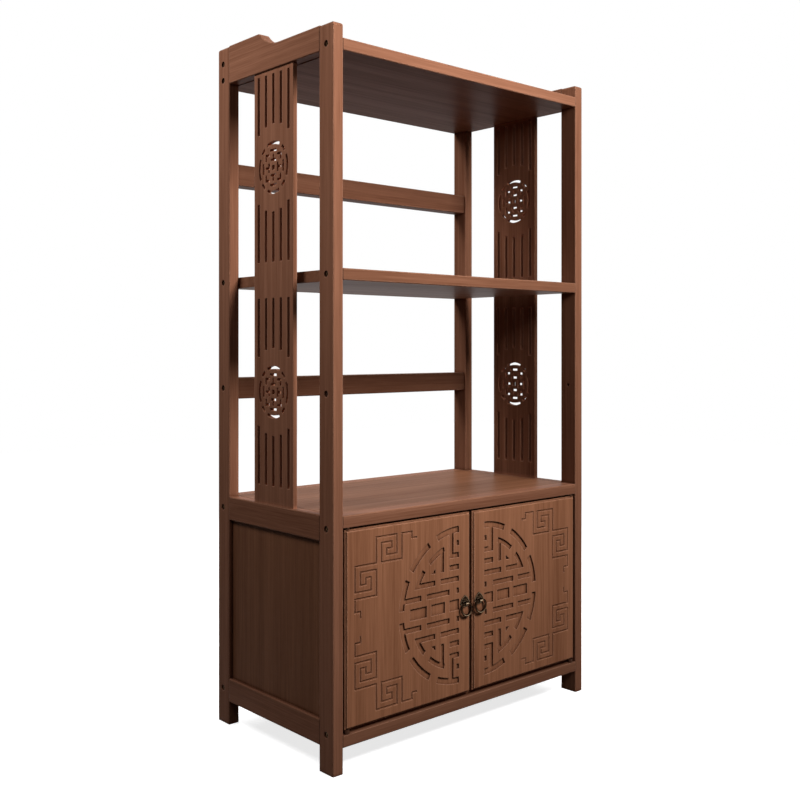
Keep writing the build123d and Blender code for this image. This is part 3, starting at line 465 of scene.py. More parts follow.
# %% [markdown]
# ### Knuckle and its saddle
# The knuckle is a short tube, turned with a bead at each end, and a saddle carries it on the plate.
# A Boolean would weld them into one skin with ragged triangles, so each stays a clean closed shell
# that starts inside its neighbour. The tube's profile is a closed loop, outside and bore, turned
# about the axis. The saddle is a stack of rounded rectangles that narrows from the plate to the tube
# and stops inside the tube's wall, so the bore stays free.

# %% Knuckle
# Radius, and place along the axis.
HALF_PROFILE = np.array([
    (1.28, -4.5), (2.35, -4.5), (2.75, -4.38), (2.95, -4.05), (2.98, -3.6),
    (2.9, -3.3), (2.62, -3.1), (2.62, -2.8), (2.9, -2.6), (3.0, -2.2)])
KNUCKLE_PROFILE = np.concatenate([HALF_PROFILE, HALF_PROFILE[::-1] * np.array([1, -1])])
KNUCKLE_SIDES = 36


def turned(profile, sides, loop=False):
    """Surface of revolution about Z: each profile point (r, z) is carried round a full circle."""
    angle = np.linspace(0, 2 * pi, sides, endpoint=False)
    r, z = profile[:, 0, None], profile[:, 1, None]
    points = np.stack([r * np.cos(angle), r * np.sin(angle), z + 0 * angle], axis=-1)
    return points.reshape(-1, 3), grid_quads(len(profile), sides, wrap_rows=loop, wrap_cols=True)


def knuckle():
    """The turned tube, with its axis laid along X at the knuckle's height."""
    points, quads = turned(KNUCKLE_PROFILE, KNUCKLE_SIDES, loop=True)
    laid = np.stack([points[:, 2], KNUCKLE_H + points[:, 0], points[:, 1]], axis=-1)
    return laid, quads


print("knuckle is", np.ptp(KNUCKLE_PROFILE[:, 1]), "mm long")

# %% Saddle and plate
# Height, half width and half depth of each rounded rectangle.
SADDLE = np.array([
    (0.75, 0.0, 0.0), (0.75, 4.9, 4.3), (1.3, 4.5, 3.5), (2.0, 4.25, 2.9), (3.0, 4.15, 2.45),
    (4.6, 4.1, 2.0), (4.6, 0.0, 0.0)])
PLATE_SMOOTH = 50


def saddle(sides=40):
    """Rounded rectangles |x/a|^4 + |z/b|^4 = 1, one at each height, joined into a closed stack."""
    angle = np.linspace(0, 2 * pi, sides, endpoint=False)
    square = (np.abs(np.cos(angle)) ** 4 + np.abs(np.sin(angle)) ** 4) ** -0.25
    across = SADDLE[:, 1, None] * square * np.cos(angle)
    up = SADDLE[:, 2, None] * square * np.sin(angle)
    height = SADDLE[:, 0, None] + 0 * angle
    points = np.stack([across, height, up], axis=-1)
    return points.reshape(-1, 3), grid_quads(len(SADDLE), sides, wrap_cols=True)


def joined(*shells):
    """Several shells of points and quads as one set."""
    starts = np.cumsum([0] + [len(points) for points, quads in shells[:-1]])
    points = np.concatenate([points for points, quads in shells])
    return points, np.concatenate([quads + start for (_, quads), start in zip(shells, starts)])


plate_points, plate_quads = joined(leaf, knuckle(), saddle())
plates = {}
for end in BOTH:
    points = set_in(plate_points, pull_place(end))
    plates[end] = make_piece(f"plate_of_pull_{end}", points, plate_quads, PLATE_SMOOTH)
    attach(plates[end], f"{end}_door")
    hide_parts(f"pull_plate_{end}")

# %% [markdown]
# ### Pins of the plate
# Two round-headed pins hold each plate. A squashed ball would do for the head seen from the front,
# but a pin is a turned shape: a domed head with a short upright band, and a shank that runs into the
# door as far as the solid one does. The heads start inside the plate, so nothing hovers.

# %% Pins
HEAD_R = 2.0
HEAD_FOOT = 0.8
HEAD_BAND = 0.5
SHANK_R = 1.2
DOME_STEPS = 10
PIN_SIDES = 24


def pin_profile(crown, depth):
    """Profile (r, H) of a pin: shank from -depth, a band, then a quarter ellipse to the crown."""
    angle = np.linspace(0, pi / 2, DOME_STEPS)
    brim = HEAD_FOOT + HEAD_BAND
    dome = np.stack([HEAD_R * np.cos(angle), brim + (crown - brim) * np.sin(angle)], axis=-1)
    shank = np.array([(0, -depth), (SHANK_R, -depth), (SHANK_R, HEAD_FOOT), (HEAD_R, HEAD_FOOT)])
    return np.concatenate([shank, dome])


def repeated(points, quads, places):
    """Copies of one shape: its points moved to each place, and its quads numbered to match."""
    moved = points[None, :, :] + np.asarray(places)[:, None, :]
    numbers = quads[None, :, :] + len(points) * np.arange(len(places))[:, None, None]
    return moved.reshape(-1, 3), numbers.reshape(-1, 4)


pins = {}
for end in BOTH:
    low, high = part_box(f"pull_screws_{end}")
    place = pull_place(end)
    profile = pin_profile((place[1] - low.y) / MM, (high.y - place[1]) / MM)
    points, quads = turned(profile, PIN_SIDES)
    upper, lower = (high.z - place[2]) / MM - HEAD_R, (low.z - place[2]) / MM + HEAD_R
    points, quads = repeated(points[:, [0, 2, 1]], quads, [(0, 0, upper), (0, 0, lower)])
    pins[end] = make_piece(f"pins_of_pull_{end}", set_in(points, place), quads)
    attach(pins[end], f"{end}_door")
    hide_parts(f"pull_screws_{end}")

# %% [markdown]
# ## Bolts
# The side frames are bolted to the boards from outside. The heads sit deep in round holes, and each
# has a six-sided key socket. The socket could be cut out of a cylinder, but a head is easier as a
# turned shape whose first rows are stretched from circles to hexagons, so that socket, face, side
# and shank are one closed grid. The boards' own boxes say where the bolts go.

# %% Bolts
# Radius, depth, and 1 where the row is a hexagon.
BOLT_ROWS = np.array([
    (0.0, 2.1, 0), (2.0, 2.1, 1), (2.0, 0.3, 1), (2.5, 0.0, 0), (4.5, 0.0, 0), (5.0, 0.14, 0),
    (5.3, 0.5, 0), (5.4, 1.0, 0), (5.4, 3.0, 0), (2.95, 3.0, 0)])


def sunk_head(rows, length, sides=36):
    """Rows (r, depth, hexagon or not) turned about the depth, then a plain shank of that length.

    A hexagonal row has r / cos(a) with a measured from the nearest flat.
    """
    end = np.array([(rows[-1, 0], length, 0), (0.0, length, 0)])
    rows = np.concatenate([rows, end])
    angle = np.linspace(0, 2 * pi, sides, endpoint=False)
    flat = np.mod(angle + pi / 6, pi / 3) - pi / 6
    r = rows[:, 0, None] * np.where(rows[:, 2, None] > 0, 1 / np.cos(flat), 1.0)
    depth = rows[:, 1, None] + 0 * angle
    points = np.stack([depth, r * np.cos(angle), r * np.sin(angle)], axis=-1)
    return points.reshape(-1, 3), grid_quads(len(rows), sides, wrap_cols=True)


def middle_of(name):
    """Middle of a node's box."""
    low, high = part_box(name)
    return (low + high) / 2


front_y = middle_of("post_front_left").y
back_y = middle_of("top_guard_rail").y
boards = ("top_board", "middle_shelf", "cabinet_top_front_rail", "cabinet_bottom_front_rail")
back_rails = ("top_guard_rail", "lower_back_rail")
bolt_spots = [(front_y, middle_of(name).z) for name in boards]
bolt_spots += [(back_y, middle_of(name).z) for name in boards + back_rails]
print("bolts on each side at", [(round(y, 4), round(z, 4)) for y, z in bolt_spots])

bolts = {}
for end, outward in (("left", -1), ("right", 1)):
    low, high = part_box(f"bolts_{end}")
    face = low.x if outward < 0 else high.x
    points, quads = sunk_head(BOLT_ROWS, (high.x - low.x) / MM)
    points = MM * points * np.array([-outward, 1, 1])
    points, quads = repeated(points, quads, [(face, y, z) for y, z in bolt_spots])
    bolts[end] = make_piece(f"sunk_bolts_{end}", points, quads)
    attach(bolts[end], "frame")
    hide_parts(f"bolts_{end}")

# %% [markdown]
# ## Hole caps
# A hole in a post with nothing to hold is shut by a low moulded cap. A flat disc would shut it too,
# but the slight dome catches the light as the real one does. It is turned as the bolts are, with no
# hexagonal rows.

# %% Hole caps
CAP_ROWS = np.array([
    (0.0, 0.0, 0), (2.0, 0.06, 0), (3.6, 0.26, 0), (4.7, 0.6, 0), (5.2, 1.0, 0), (5.4, 1.6, 0),
    (5.4, 3.0, 0), (2.95, 3.0, 0)])
CAP_LENGTH = 10.0

low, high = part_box("spare_hole_plugs")
cap_y, cap_z = (low.y + high.y) / 2, (low.z + high.z) / 2
cap_points, cap_quads = sunk_head(CAP_ROWS, CAP_LENGTH)
shells = []
for face, inward in ((low.x, 1), (high.x, -1)):
    points = MM * cap_points * np.array([inward, 1, 1]) + np.array([face, cap_y, cap_z])
    shells.append((points, cap_quads))
caps = make_piece("hole_caps", *joined(*shells))
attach(caps, "frame")
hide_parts("spare_hole_plugs")

# %% [markdown]
# ## Grain
# Bamboo board is glued up from long strips. Each strip differs a little in tone, and stain brings
# out fibres that run the whole length of a piece. An image of grain would repeat and stretch, so a
# node group works the grain out from the place in the piece: noise drawn out along the grain for
# clouds, streaks, fibres and fine threads, and one tone for every strip. Grain runs along Z in the
# group, and each material turns it first.

# %% Helpers for node groups
def new_group(name, inputs, outputs):
    """An empty shader node group with named sockets. Gives its tree and its two end nodes."""
    group = bpy.data.node_groups.new(name, "ShaderNodeTree")
    for label, kind, value in inputs:
        socket = group.interface.new_socket(label, in_out="INPUT", socket_type=kind)
        if value is not None:
            socket.default_value = value
    for label, kind in outputs:
        group.interface.new_socket(label, in_out="OUTPUT", socket_type=kind)
    return group, node(group, "NodeGroupInput"), node(group, "NodeGroupOutput")


def stretched_noise(tree, vector, scale, detail):
    """Noise with its own scale on each axis, about 0 to 1."""
    stretch = node(tree, "ShaderNodeVectorMath", operation="MULTIPLY")
    stretch.inputs[1].default_value = scale
    tree.links.new(vector, stretch.inputs[0])
    noise = node(tree, "ShaderNodeTexNoise")
    noise.inputs["Scale"].default_value = 1.0
    noise.inputs["Detail"].default_value = detail
    tree.links.new(stretch.outputs[0], noise.inputs["Vector"])
    return noise.outputs[0]


def mix_colors(tree, share, first, second):
    """A colour mix: none of the second colour at share 0, all of it at 1. Gives its colour."""
    mix = node(tree, "ShaderNodeMix", data_type="RGBA", blend_type="MIX")
    feed(tree, mix.inputs["Factor"], share)
    feed(tree, mix.inputs[6], first)
    feed(tree, mix.inputs[7], second)
    return mix.outputs[2]


print("group helpers: new_group, stretched_noise, mix_colors")

# %% Grain group
# Each layer: waves per metre across, across and along the grain, detail, and share in the tone.
LAYERS = {
    "fibres": ((420, 420, 7), 3, 0.92),
    "threads": ((1500, 1500, 22), 2, 0.62),
    "streaks": ((120, 120, 1.8), 2, 0.65),
    "clouds": ((16, 16, 1.6), 2, 0.45),
}
STRIP_W = 0.021
STRIP_SHARE = 0.2
MIDDLE_TONE = 0.5
FIBRE_HEIGHT, THREAD_HEIGHT = 0.6, 0.4

grain, grain_in, grain_out = new_group(
    "bamboo_grain",
    [
        ("Place", "NodeSocketVector", None),
        ("Dark", "NodeSocketColor", (0.1, 0.04, 0.02, 1)),
        ("Light", "NodeSocketColor", (0.3, 0.12, 0.07, 1)),
        ("Sheen Spread", "NodeSocketFloat", 0.12),
        ("Base Roughness", "NodeSocketFloat", 0.36),
    ],
    [("Color", "NodeSocketColor"), ("Roughness", "NodeSocketFloat"), ("Height", "NodeSocketFloat")],
)
takes, gives = grain_in.outputs, grain_out.inputs
layer = {name: stretched_noise(grain, takes["Place"], scale, detail)
         for name, (scale, detail, _) in LAYERS.items()}
cells = node(grain, "ShaderNodeVectorMath", operation="MULTIPLY")
cells.inputs[1].default_value = (1 / STRIP_W, 1 / STRIP_W, 0)
grain.links.new(takes["Place"], cells.inputs[0])
whole = node(grain, "ShaderNodeVectorMath", operation="FLOOR")
grain.links.new(cells.outputs[0], whole.inputs[0])
strip = node(grain, "ShaderNodeTexWhiteNoise", noise_dimensions="2D")
grain.links.new(whole.outputs[0], strip.inputs["Vector"])

tone = MIDDLE_TONE
shares = [(layer[name], share) for name, (_, _, share) in LAYERS.items()]
for source, share in shares + [(strip.outputs["Value"], STRIP_SHARE)]:
    tone = sums(grain, "MULTIPLY_ADD", sums(grain, "SUBTRACT", source, MIDDLE_TONE), share, tone)
tone = sums(grain, "MULTIPLY", tone, 1.0, clamp=True)
grain.links.new(mix_colors(grain, tone, takes["Dark"], takes["Light"]), gives["Color"])
uneven = sums(grain, "MULTIPLY", takes["Sheen Spread"], sums(grain, "SUBTRACT", 1.0, tone))
grain.links.new(sums(grain, "ADD", takes["Base Roughness"], uneven), gives["Roughness"])
fine = sums(grain, "MULTIPLY", layer["threads"], THREAD_HEIGHT)
height = sums(grain, "MULTIPLY_ADD", layer["fibres"], FIBRE_HEIGHT, fine)
grain.links.new(height, gives["Height"])
print("grain group has", len(grain.nodes), "nodes")

# %% [markdown]
# ## Worn edges and painted shade
# Stain is rubbed thin on outer edges, and their paler colour is also a painted highlight. Corners,
# carving and the gaps between parts are painted darker as shade. This could be painted on each
# piece, but the shape itself tells where: a softened normal differs from the true one near an edge,
# and a corner is shut in. So one group gives a mask for open edges and one for corners, and every
# wood and metal finish can use it.

# %% Edge and shade group
EDGE_GAIN = 5.0
CORNER_GAIN = 1.6
CORNER_HIDES = 1.2
SOFT_SAMPLES, SHUT_SAMPLES = 4, 6

edges_and_shade, edges_and_shade_in, edges_and_shade_out = new_group(
    "edges_and_corners",
    [("Reach", "NodeSocketFloat", 0.002), ("Depth", "NodeSocketFloat", 0.008)],
    [
        ("Edge", "NodeSocketFloat"),
        ("Corner", "NodeSocketFloat"),
        ("Soft Normal", "NodeSocketVector"),
    ],
)
soft = node(edges_and_shade, "ShaderNodeBevel", samples=SOFT_SAMPLES)
edges_and_shade.links.new(edges_and_shade_in.outputs["Reach"], soft.inputs["Radius"])
flat_side = node(edges_and_shade, "ShaderNodeNewGeometry")
lean = node(edges_and_shade, "ShaderNodeVectorMath", operation="DOT_PRODUCT")
edges_and_shade.links.new(soft.outputs[0], lean.inputs[0])
edges_and_shade.links.new(flat_side.outputs["True Normal"], lean.inputs[1])
bent = sums(edges_and_shade, "SUBTRACT", 1.0, lean.outputs["Value"])
bent = sums(edges_and_shade, "MULTIPLY", bent, EDGE_GAIN, clamp=True)
# Shut-in places (corners, carving and the gaps between parts), where the finishes paint shade.
shut = node(edges_and_shade, "ShaderNodeAmbientOcclusion", samples=SHUT_SAMPLES)
edges_and_shade.links.new(edges_and_shade_in.outputs["Depth"], shut.inputs["Distance"])
corner = sums(edges_and_shade, "SUBTRACT", 1.0, shut.outputs["AO"])
corner = sums(edges_and_shade, "MULTIPLY", corner, CORNER_GAIN, clamp=True)
hidden = sums(edges_and_shade, "MULTIPLY", corner, CORNER_HIDES, clamp=True)
edge = sums(edges_and_shade, "MULTIPLY", bent, sums(edges_and_shade, "SUBTRACT", 1.0, hidden))
edges_and_shade.links.new(edge, edges_and_shade_out.inputs["Edge"])
edges_and_shade.links.new(corner, edges_and_shade_out.inputs["Corner"])
edges_and_shade.links.new(soft.outputs[0], edges_and_shade_out.inputs["Soft Normal"])
print("wear group has", len(edges_and_shade.nodes), "nodes")

# %% [markdown]
# ## Stained bamboo
# All the wood has one reddish brown stain under a thin satin lacquer. The pieces differ in how their
# grain runs and a little in tone. The middle shelf, the cabinet's bottom rails and the back rails take
# darker copies of the stain, which paint the shade that falls on them. Nine separate materials could
# be drawn, but one function makes the finish for a direction and a pair of tones: a Mapping node turns
# the grain, and the groups give colour, roughness and relief. The lacquer is a low specular level,
# because the white surround would put a haze on a stronger one.

# %% Helpers for finishes
def group_node(tree, group, **values):
    """A placed copy of a node group with values on its named inputs."""
    placed = node(tree, "ShaderNodeGroup", node_tree=group)
    for label, value in values.items():
        placed.inputs[label].default_value = value
    return placed


def blank_finish(name):
    """A material with only its surface shader. Gives the material, its tree and the shader."""
    finish = bpy.data.materials.new(name)
    finish.use_nodes = True
    made = finish.node_tree
    made.nodes.clear()
    surface = node(made, "ShaderNodeBsdfPrincipled")
    end = node(made, "ShaderNodeOutputMaterial")
    made.links.new(surface.outputs[0], end.inputs["Surface"])
    return finish, made, surface


def relief(tree, surface, height, strength, distance, under=None):
    """Feeds a height to the surface as a bump on top of the normal that lies under it."""
    bump = node(tree, "ShaderNodeBump")
    bump.inputs["Strength"].default_value = strength
    bump.inputs["Distance"].default_value = distance
    tree.links.new(height, bump.inputs["Height"])
    if under is not None:
        tree.links.new(under, bump.inputs["Normal"])
    tree.links.new(bump.outputs[0], surface.inputs["Normal"])


print("finish helpers: group_node, blank_finish, relief")

# %% Wood finish
GRAIN_TURN = {"X": (0, -pi / 2, 0), "Y": (pi / 2, 0, 0), "Z": (0, 0, 0)}
# Colour of pale edges: rubbed wear and a painted highlight.
WORN_AND_HIGHLIGHT = (0.50, 0.27, 0.18, 1)
# Colour painted as shade in nooks, corners and the gaps between parts.
PAINTED_SHADE = (0.038, 0.011, 0.005, 1)
# Colour painted on the splats' slot walls as the light that falls on them.
PAINTED_SLOT_LIGHT = (0.52, 0.21, 0.12, 1)
LACQUER = 0.012
GRAIN_STRENGTH, GRAIN_DEPTH = 0.16, 0.0002


def bamboo(name, runs, tones, pale_edge_share=0.55, painted_nook_share=0.55, nook=PAINTED_SHADE):
    """Satin stained bamboo with its grain along an axis, and pale edges of wear and painted highlight.

    Nooks take a painted colour: the painted shade, unless another colour is given.
    """
    finish, made, surface = blank_finish(name)
    where = node(made, "ShaderNodeTexCoord")
    turn = node(made, "ShaderNodeMapping")
    turn.inputs["Rotation"].default_value = GRAIN_TURN[runs]
    made.links.new(where.outputs["Object"], turn.inputs["Vector"])
    fibre = group_node(made, grain, Dark=tones[0], Light=tones[1])
    made.links.new(turn.outputs[0], fibre.inputs["Place"])
    edge_and_nook_masks = group_node(made, edges_and_shade)
    # Edges paled by rubbed wear and by a painted highlight.
    pale = sums(made, "MULTIPLY", edge_and_nook_masks.outputs["Edge"], pale_edge_share)
    color = mix_colors(made, pale, fibre.outputs["Color"], WORN_AND_HIGHLIGHT)
    # Nooks take the nook colour as paint: painted shade, and on the splats painted light.
    painted_nook_mask = sums(made, "MULTIPLY", edge_and_nook_masks.outputs["Corner"], painted_nook_share)
    made.links.new(mix_colors(made, painted_nook_mask, color, nook), surface.inputs["Base Color"])
    made.links.new(fibre.outputs["Roughness"], surface.inputs["Roughness"])
    surface.inputs["Specular IOR Level"].default_value = LACQUER
    relief(made, surface, fibre.outputs["Height"], GRAIN_STRENGTH, GRAIN_DEPTH,
           edge_and_nook_masks.outputs["Soft Normal"])
    return finish


STAIN = ((0.112, 0.041, 0.021, 1), (0.262, 0.116, 0.068, 1))
DOOR_STAIN = ((0.148, 0.055, 0.026, 1), (0.340, 0.148, 0.078, 1))
PANEL_STAIN = ((0.090, 0.034, 0.016, 1), (0.210, 0.090, 0.047, 1))
# Darker copies of the stain: painted shade on the shelf, the cabinet's bottom rails and the back
# rails.
SHELF_STAIN_SHADED = ((0.097, 0.036, 0.018, 1), (0.228, 0.101, 0.059, 1))
BACK_STAIN_SHADED = ((0.080, 0.029, 0.015, 1), (0.186, 0.081, 0.047, 1))
woods = {
    "post": bamboo("stained_post", "Z", STAIN),
    "long": bamboo("stained_board", "X", STAIN),
    "shelf": bamboo("stained_shelf_shaded", "X", SHELF_STAIN_SHADED),
    "back": bamboo("stained_back_rail_shaded", "X", BACK_STAIN_SHADED),
    "side": bamboo("stained_side_rail", "Y", STAIN),
    "door": bamboo("stained_door", "Z", DOOR_STAIN, pale_edge_share=0.9, painted_nook_share=0.65),
    # The splats' slot walls are painted lighter, as light on them.
    "splat": bamboo("stained_splat", "Z", STAIN, painted_nook_share=0.5, nook=PAINTED_SLOT_LIGHT),
    "upright_panel": bamboo("stained_upright_panel", "Z", PANEL_STAIN),
    "flat_panel": bamboo("stained_flat_panel", "X", PANEL_STAIN),
}
print("wood finishes:", sorted(woods))

# %% [markdown]
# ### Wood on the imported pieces
# Grain runs the long way of every real piece, because a strip is strongest so. The tables say which
# finish that makes for each piece, once for pieces that come in pairs and once for those that tie
# the two side frames together.

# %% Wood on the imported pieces
WOOD_OF_PAIRS = {
    "post": ("post_front", "post_back"),
    "side": ("top_side_rail", "cabinet_side_rail_upper", "cabinet_side_rail_lower"),
    "upright_panel": ("side_panel",),
    "splat": ("splat",),
    "door": ("door",),
}
WOOD_OF_ONES = {
    "long": ("top_board", "cabinet_top_front_rail", "cabinet_top_back_rail", "top_guard_rail"),
    "shelf": ("middle_shelf", "cabinet_bottom_front_rail", "cabinet_bottom_back_rail"),
    "back": ("upper_back_rail", "lower_back_rail"),
    "flat_panel": ("cabinet_top_panel", "cabinet_bottom_panel"),
    "upright_panel": ("cabinet_back_panel",),
}
wood_of = {name: kind for kind, names in WOOD_OF_ONES.items() for name in names}
for kind, names in WOOD_OF_PAIRS.items():
    wood_of.update({f"{name}_{end}": kind for name in names for end in BOTH})


def dress(name, finish):
    """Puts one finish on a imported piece, in place of the plain one that it came with."""
    piece = frame["nodes"][name]
    piece.data.materials.clear()
    piece.data.materials.append(finish)


for name, kind in wood_of.items():
    dress(name, woods[kind])
print("wood on", len(wood_of), "pieces")

# %% [markdown]
# ## Plain metals and plastic
# The bolts and the doors' pivot pins are browned steel, the strike plates and small screws bright
# zinc, the inserts turned brass, the catch holds two ground magnets, and the bushes, caps and the
# catch itself are moulded plastic. One grey for all of them would look like a toy. The metals share
# the wear group, so their edges shine, and cloudy noise keeps each from being one flat colour.

# %% Metal and plastic finishes
METAL_CLOUDS, METAL_PITS = 320, 1400
METAL_GAIN, METAL_START = 2.2, -0.6
METAL_REACH, METAL_DEPTH = 0.0006, 0.002
METAL_UNEVEN, METAL_RELIEF = 0.25, 0.15
PLASTIC_CLOUDS, PLASTIC_PITS = 90, 2500
PLASTIC_UNEVEN, PLASTIC_RELIEF = 0.15, 0.12
PLASTIC_GLOSS = 0.1
PIT_DEPTH = 0.0001


def cloudy(tree, scale, detail=3):
    """Even noise on the piece's own coordinates, about 0 to 1."""
    where = node(tree, "ShaderNodeTexCoord")
    return stretched_noise(tree, where.outputs["Object"], (scale, scale, scale), detail)


def metal(name, dark, light, bright, rough, pale_edge_share=0.8):
    """Metal with a cloudy tarnish and edges worn bright."""
    finish, made, surface = blank_finish(name)
    patch = cloudy(made, METAL_CLOUDS)
    dulled = sums(made, "MULTIPLY_ADD", patch, METAL_GAIN, METAL_START, clamp=True)
    tarnish = mix_colors(made, dulled, dark, light)
    edge_and_nook_masks = group_node(made, edges_and_shade, Reach=METAL_REACH, Depth=METAL_DEPTH)
    shine = sums(made, "MULTIPLY", edge_and_nook_masks.outputs["Edge"], pale_edge_share)
    made.links.new(mix_colors(made, shine, tarnish, bright), surface.inputs["Base Color"])
    surface.inputs["Metallic"].default_value = 1.0
    uneven = sums(made, "MULTIPLY_ADD", patch, METAL_UNEVEN, rough)
    made.links.new(uneven, surface.inputs["Roughness"])
    pits = cloudy(made, METAL_PITS, 2)
    relief(made, surface, pits, METAL_RELIEF, PIT_DEPTH, edge_and_nook_masks.outputs["Soft Normal"])
    return finish


def moulded(name, dark, light, rough):
    """Moulded plastic with a fine matt texture."""
    finish, made, surface = blank_finish(name)
    patch = cloudy(made, PLASTIC_CLOUDS)
    made.links.new(mix_colors(made, patch, dark, light), surface.inputs["Base Color"])
    uneven = sums(made, "MULTIPLY_ADD", patch, PLASTIC_UNEVEN, rough)
    made.links.new(uneven, surface.inputs["Roughness"])
    surface.inputs["Specular IOR Level"].default_value = PLASTIC_GLOSS
    relief(made, surface, cloudy(made, PLASTIC_PITS, 1), PLASTIC_RELIEF, PIT_DEPTH)
    return finish


browned_steel = metal("browned_steel", (0.016, 0.009, 0.005, 1), (0.064, 0.034, 0.018, 1),
                      (0.52, 0.32, 0.15, 1), 0.3, pale_edge_share=0.5)
zinc = metal("bright_zinc", (0.42, 0.41, 0.39, 1), (0.6, 0.59, 0.56, 1), (0.8, 0.79, 0.77, 1), 0.28)
brass = metal("turned_brass", (0.5, 0.33, 0.12, 1), (0.7, 0.5, 0.2, 1), (0.9, 0.74, 0.4, 1), 0.25)
ground_magnet = metal("ground_magnet", (0.07, 0.07, 0.075, 1), (0.13, 0.13, 0.14, 1),
                      (0.4, 0.4, 0.42, 1), 0.35)
cap_brown = moulded("plug_plastic", (0.03, 0.012, 0.007, 1), (0.06, 0.026, 0.016, 1), 0.45)
catch_brown = moulded("catch_plastic", (0.06, 0.03, 0.02, 1), (0.1, 0.055, 0.038, 1), 0.4)
nylon = moulded("bush_nylon", (0.042, 0.017, 0.009, 1), (0.065, 0.028, 0.016, 1), 0.6)
print("four metals and three plastics are made")

# %% [markdown]
# ## Antique bronze
# The pulls are cast with a dark antique finish that hands have rubbed bright on what stands out
# most, and the same bright colour paints the glints on the leaf, ring and knuckle. The edge mask
# alone would brighten every edge alike, so this finish also reads the height in front of the door, in
# millimetres. One band of heights lies on the crests of the leaf, one on the grip of the ring, and
# the foremost part is the brow of the knuckle. A tinted edge reflection keeps the white surround
# from greying the bronze.

# %% Bronze finish
# Bands of height that are rubbed bright and painted with glints.
CREST_BAND = (1.15, 1.7, 1.9, 2.4)
GRIP_BAND = (8.48, 8.7, 8.75, 8.85)
BROW_RISE = (8.98, 9.18)
CREST_SHARE, GRIP_SHARE, BROW_SHARE, EDGE_SHARE = 0.2, 0.45, 0.7, 0.2
BRONZE_CLOUDS = 260
BRONZE_GAIN, BRONZE_START = 2.4, -0.7
SPARED_GAIN, SPARED_LEAST = 1.2, 0.35
BRONZE_REACH = 0.0005
BRONZE_UNEVEN, BRONZE_ROUGH = 0.2, 0.1
BRONZE_RELIEF = 0.12
BRONZE_DARK, BRONZE_LIGHT = (0.006, 0.004, 0.003, 1), (0.034, 0.016, 0.008, 1)
BRONZE_RUBBED_AND_GLINT = (0.80, 0.58, 0.38, 1)
BRONZE_EDGE = (0.30, 0.19, 0.11, 1)


def ramp(tree, value, start, stop):
    """Smooth rise from 0 at the start to 1 at the stop, or a fall where the start is higher."""
    rise = node(tree, "ShaderNodeMapRange", interpolation_type="SMOOTHSTEP")
    rise.inputs["From Min"].default_value = start
    rise.inputs["From Max"].default_value = stop
    tree.links.new(value, rise.inputs["Value"])
    return rise.outputs["Result"]


def band(tree, value, bounds):
    """1 between the two middle bounds, falling smoothly to 0 at the outer ones."""
    first, full, still, last = bounds
    return sums(tree, "MULTIPLY", ramp(tree, value, first, full), ramp(tree, value, last, still))


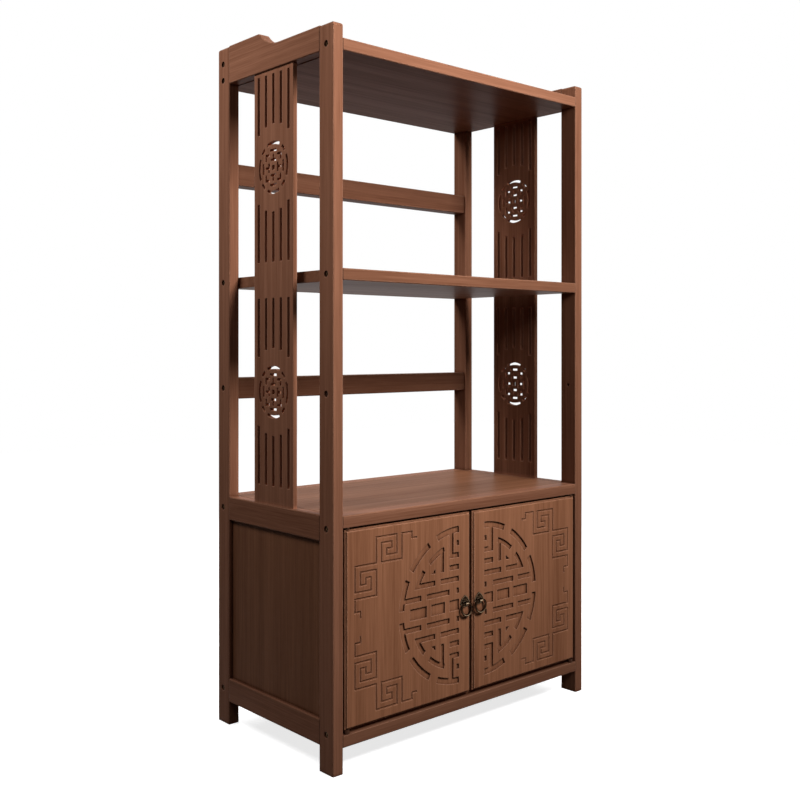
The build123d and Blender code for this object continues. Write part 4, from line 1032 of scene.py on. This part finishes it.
def antique_bronze(front):
    """Dark cast bronze, worn bright by height in front of the door, whose Y is given.

    The same bright colour paints the glints on the crests, the ring's grip and the knuckle.
    """
    finish, made, surface = blank_finish("antique_bronze")
    patch = cloudy(made, BRONZE_CLOUDS)
    dulled = sums(made, "MULTIPLY_ADD", patch, BRONZE_GAIN, BRONZE_START, clamp=True)
    tarnish = mix_colors(made, dulled, BRONZE_DARK, BRONZE_LIGHT)
    where = node(made, "ShaderNodeTexCoord")
    split = node(made, "ShaderNodeSeparateXYZ")
    made.links.new(where.outputs["Object"], split.inputs[0])
    height = sums(made, "DIVIDE", sums(made, "SUBTRACT", front, split.outputs["Y"]), MM)
    # Crests, grip and brow: rubbed wear and painted glints.
    crest = sums(made, "MULTIPLY", band(made, height, CREST_BAND), CREST_SHARE)
    grip = sums(made, "MULTIPLY", band(made, height, GRIP_BAND), GRIP_SHARE)
    brow = sums(made, "MAXIMUM", grip, ramp(made, height, *BROW_RISE))
    brow = sums(made, "MULTIPLY", brow, BROW_SHARE)
    edge_and_nook_masks = group_node(made, edges_and_shade, Reach=BRONZE_REACH, Depth=METAL_DEPTH)
    edge = sums(made, "MULTIPLY", edge_and_nook_masks.outputs["Edge"], EDGE_SHARE)
    rubbed_and_glint = sums(made, "MAXIMUM", sums(made, "MAXIMUM", crest, brow), edge)
    spared = sums(made, "MULTIPLY_ADD", patch, SPARED_GAIN, SPARED_LEAST, clamp=True)
    rubbed_and_glint = sums(made, "MULTIPLY", rubbed_and_glint, spared)
    made.links.new(mix_colors(made, rubbed_and_glint, tarnish, BRONZE_RUBBED_AND_GLINT), surface.inputs["Base Color"])
    surface.inputs["Metallic"].default_value = 1.0
    surface.inputs["Specular Tint"].default_value = BRONZE_EDGE
    uneven = sums(made, "MULTIPLY_ADD", patch, BRONZE_UNEVEN, BRONZE_ROUGH)
    made.links.new(uneven, surface.inputs["Roughness"])
    pits = cloudy(made, METAL_PITS, 2)
    relief(made, surface, pits, BRONZE_RELIEF, PIT_DEPTH, edge_and_nook_masks.outputs["Soft Normal"])
    return finish


bronze = antique_bronze(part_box("door_left")[0].y)
print("bronze has", len(bronze.node_tree.nodes), "nodes")

# %% [markdown]
# ### Metal and plastic on their pieces
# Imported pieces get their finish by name, as the wood did. The new pieces have no material yet, so
# theirs is added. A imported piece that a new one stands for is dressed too, in case it is ever shown.

# %% Metal and plastic on their pieces
METAL_OF_PAIRS = {
    "bolts": browned_steel, "pivot_pins": browned_steel, "inserts": brass, "strike_plate": zinc,
    "strike_screw": zinc, "pull_plate": bronze, "pull_screws": bronze, "pull_ring": bronze,
}
FINISH_OF_ONES = {
    "spare_hole_plugs": cap_brown, "upper_pivot_bushes": nylon, "lower_pivot_bushes": nylon,
    "magnetic_catch": catch_brown, "catch_magnets": ground_magnet, "catch_screws": zinc,
}
for name, finish in METAL_OF_PAIRS.items():
    for end in BOTH:
        dress(f"{name}_{end}", finish)
for name, finish in FINISH_OF_ONES.items():
    dress(name, finish)
for made, finish in ((rings, bronze), (plates, bronze), (pins, bronze), (bolts, browned_steel)):
    for piece in made.values():
        piece.data.materials.append(finish)
caps.data.materials.append(cap_brown)
print("metal and plastic on", 2 * len(METAL_OF_PAIRS) + len(FINISH_OF_ONES), "packed pieces")
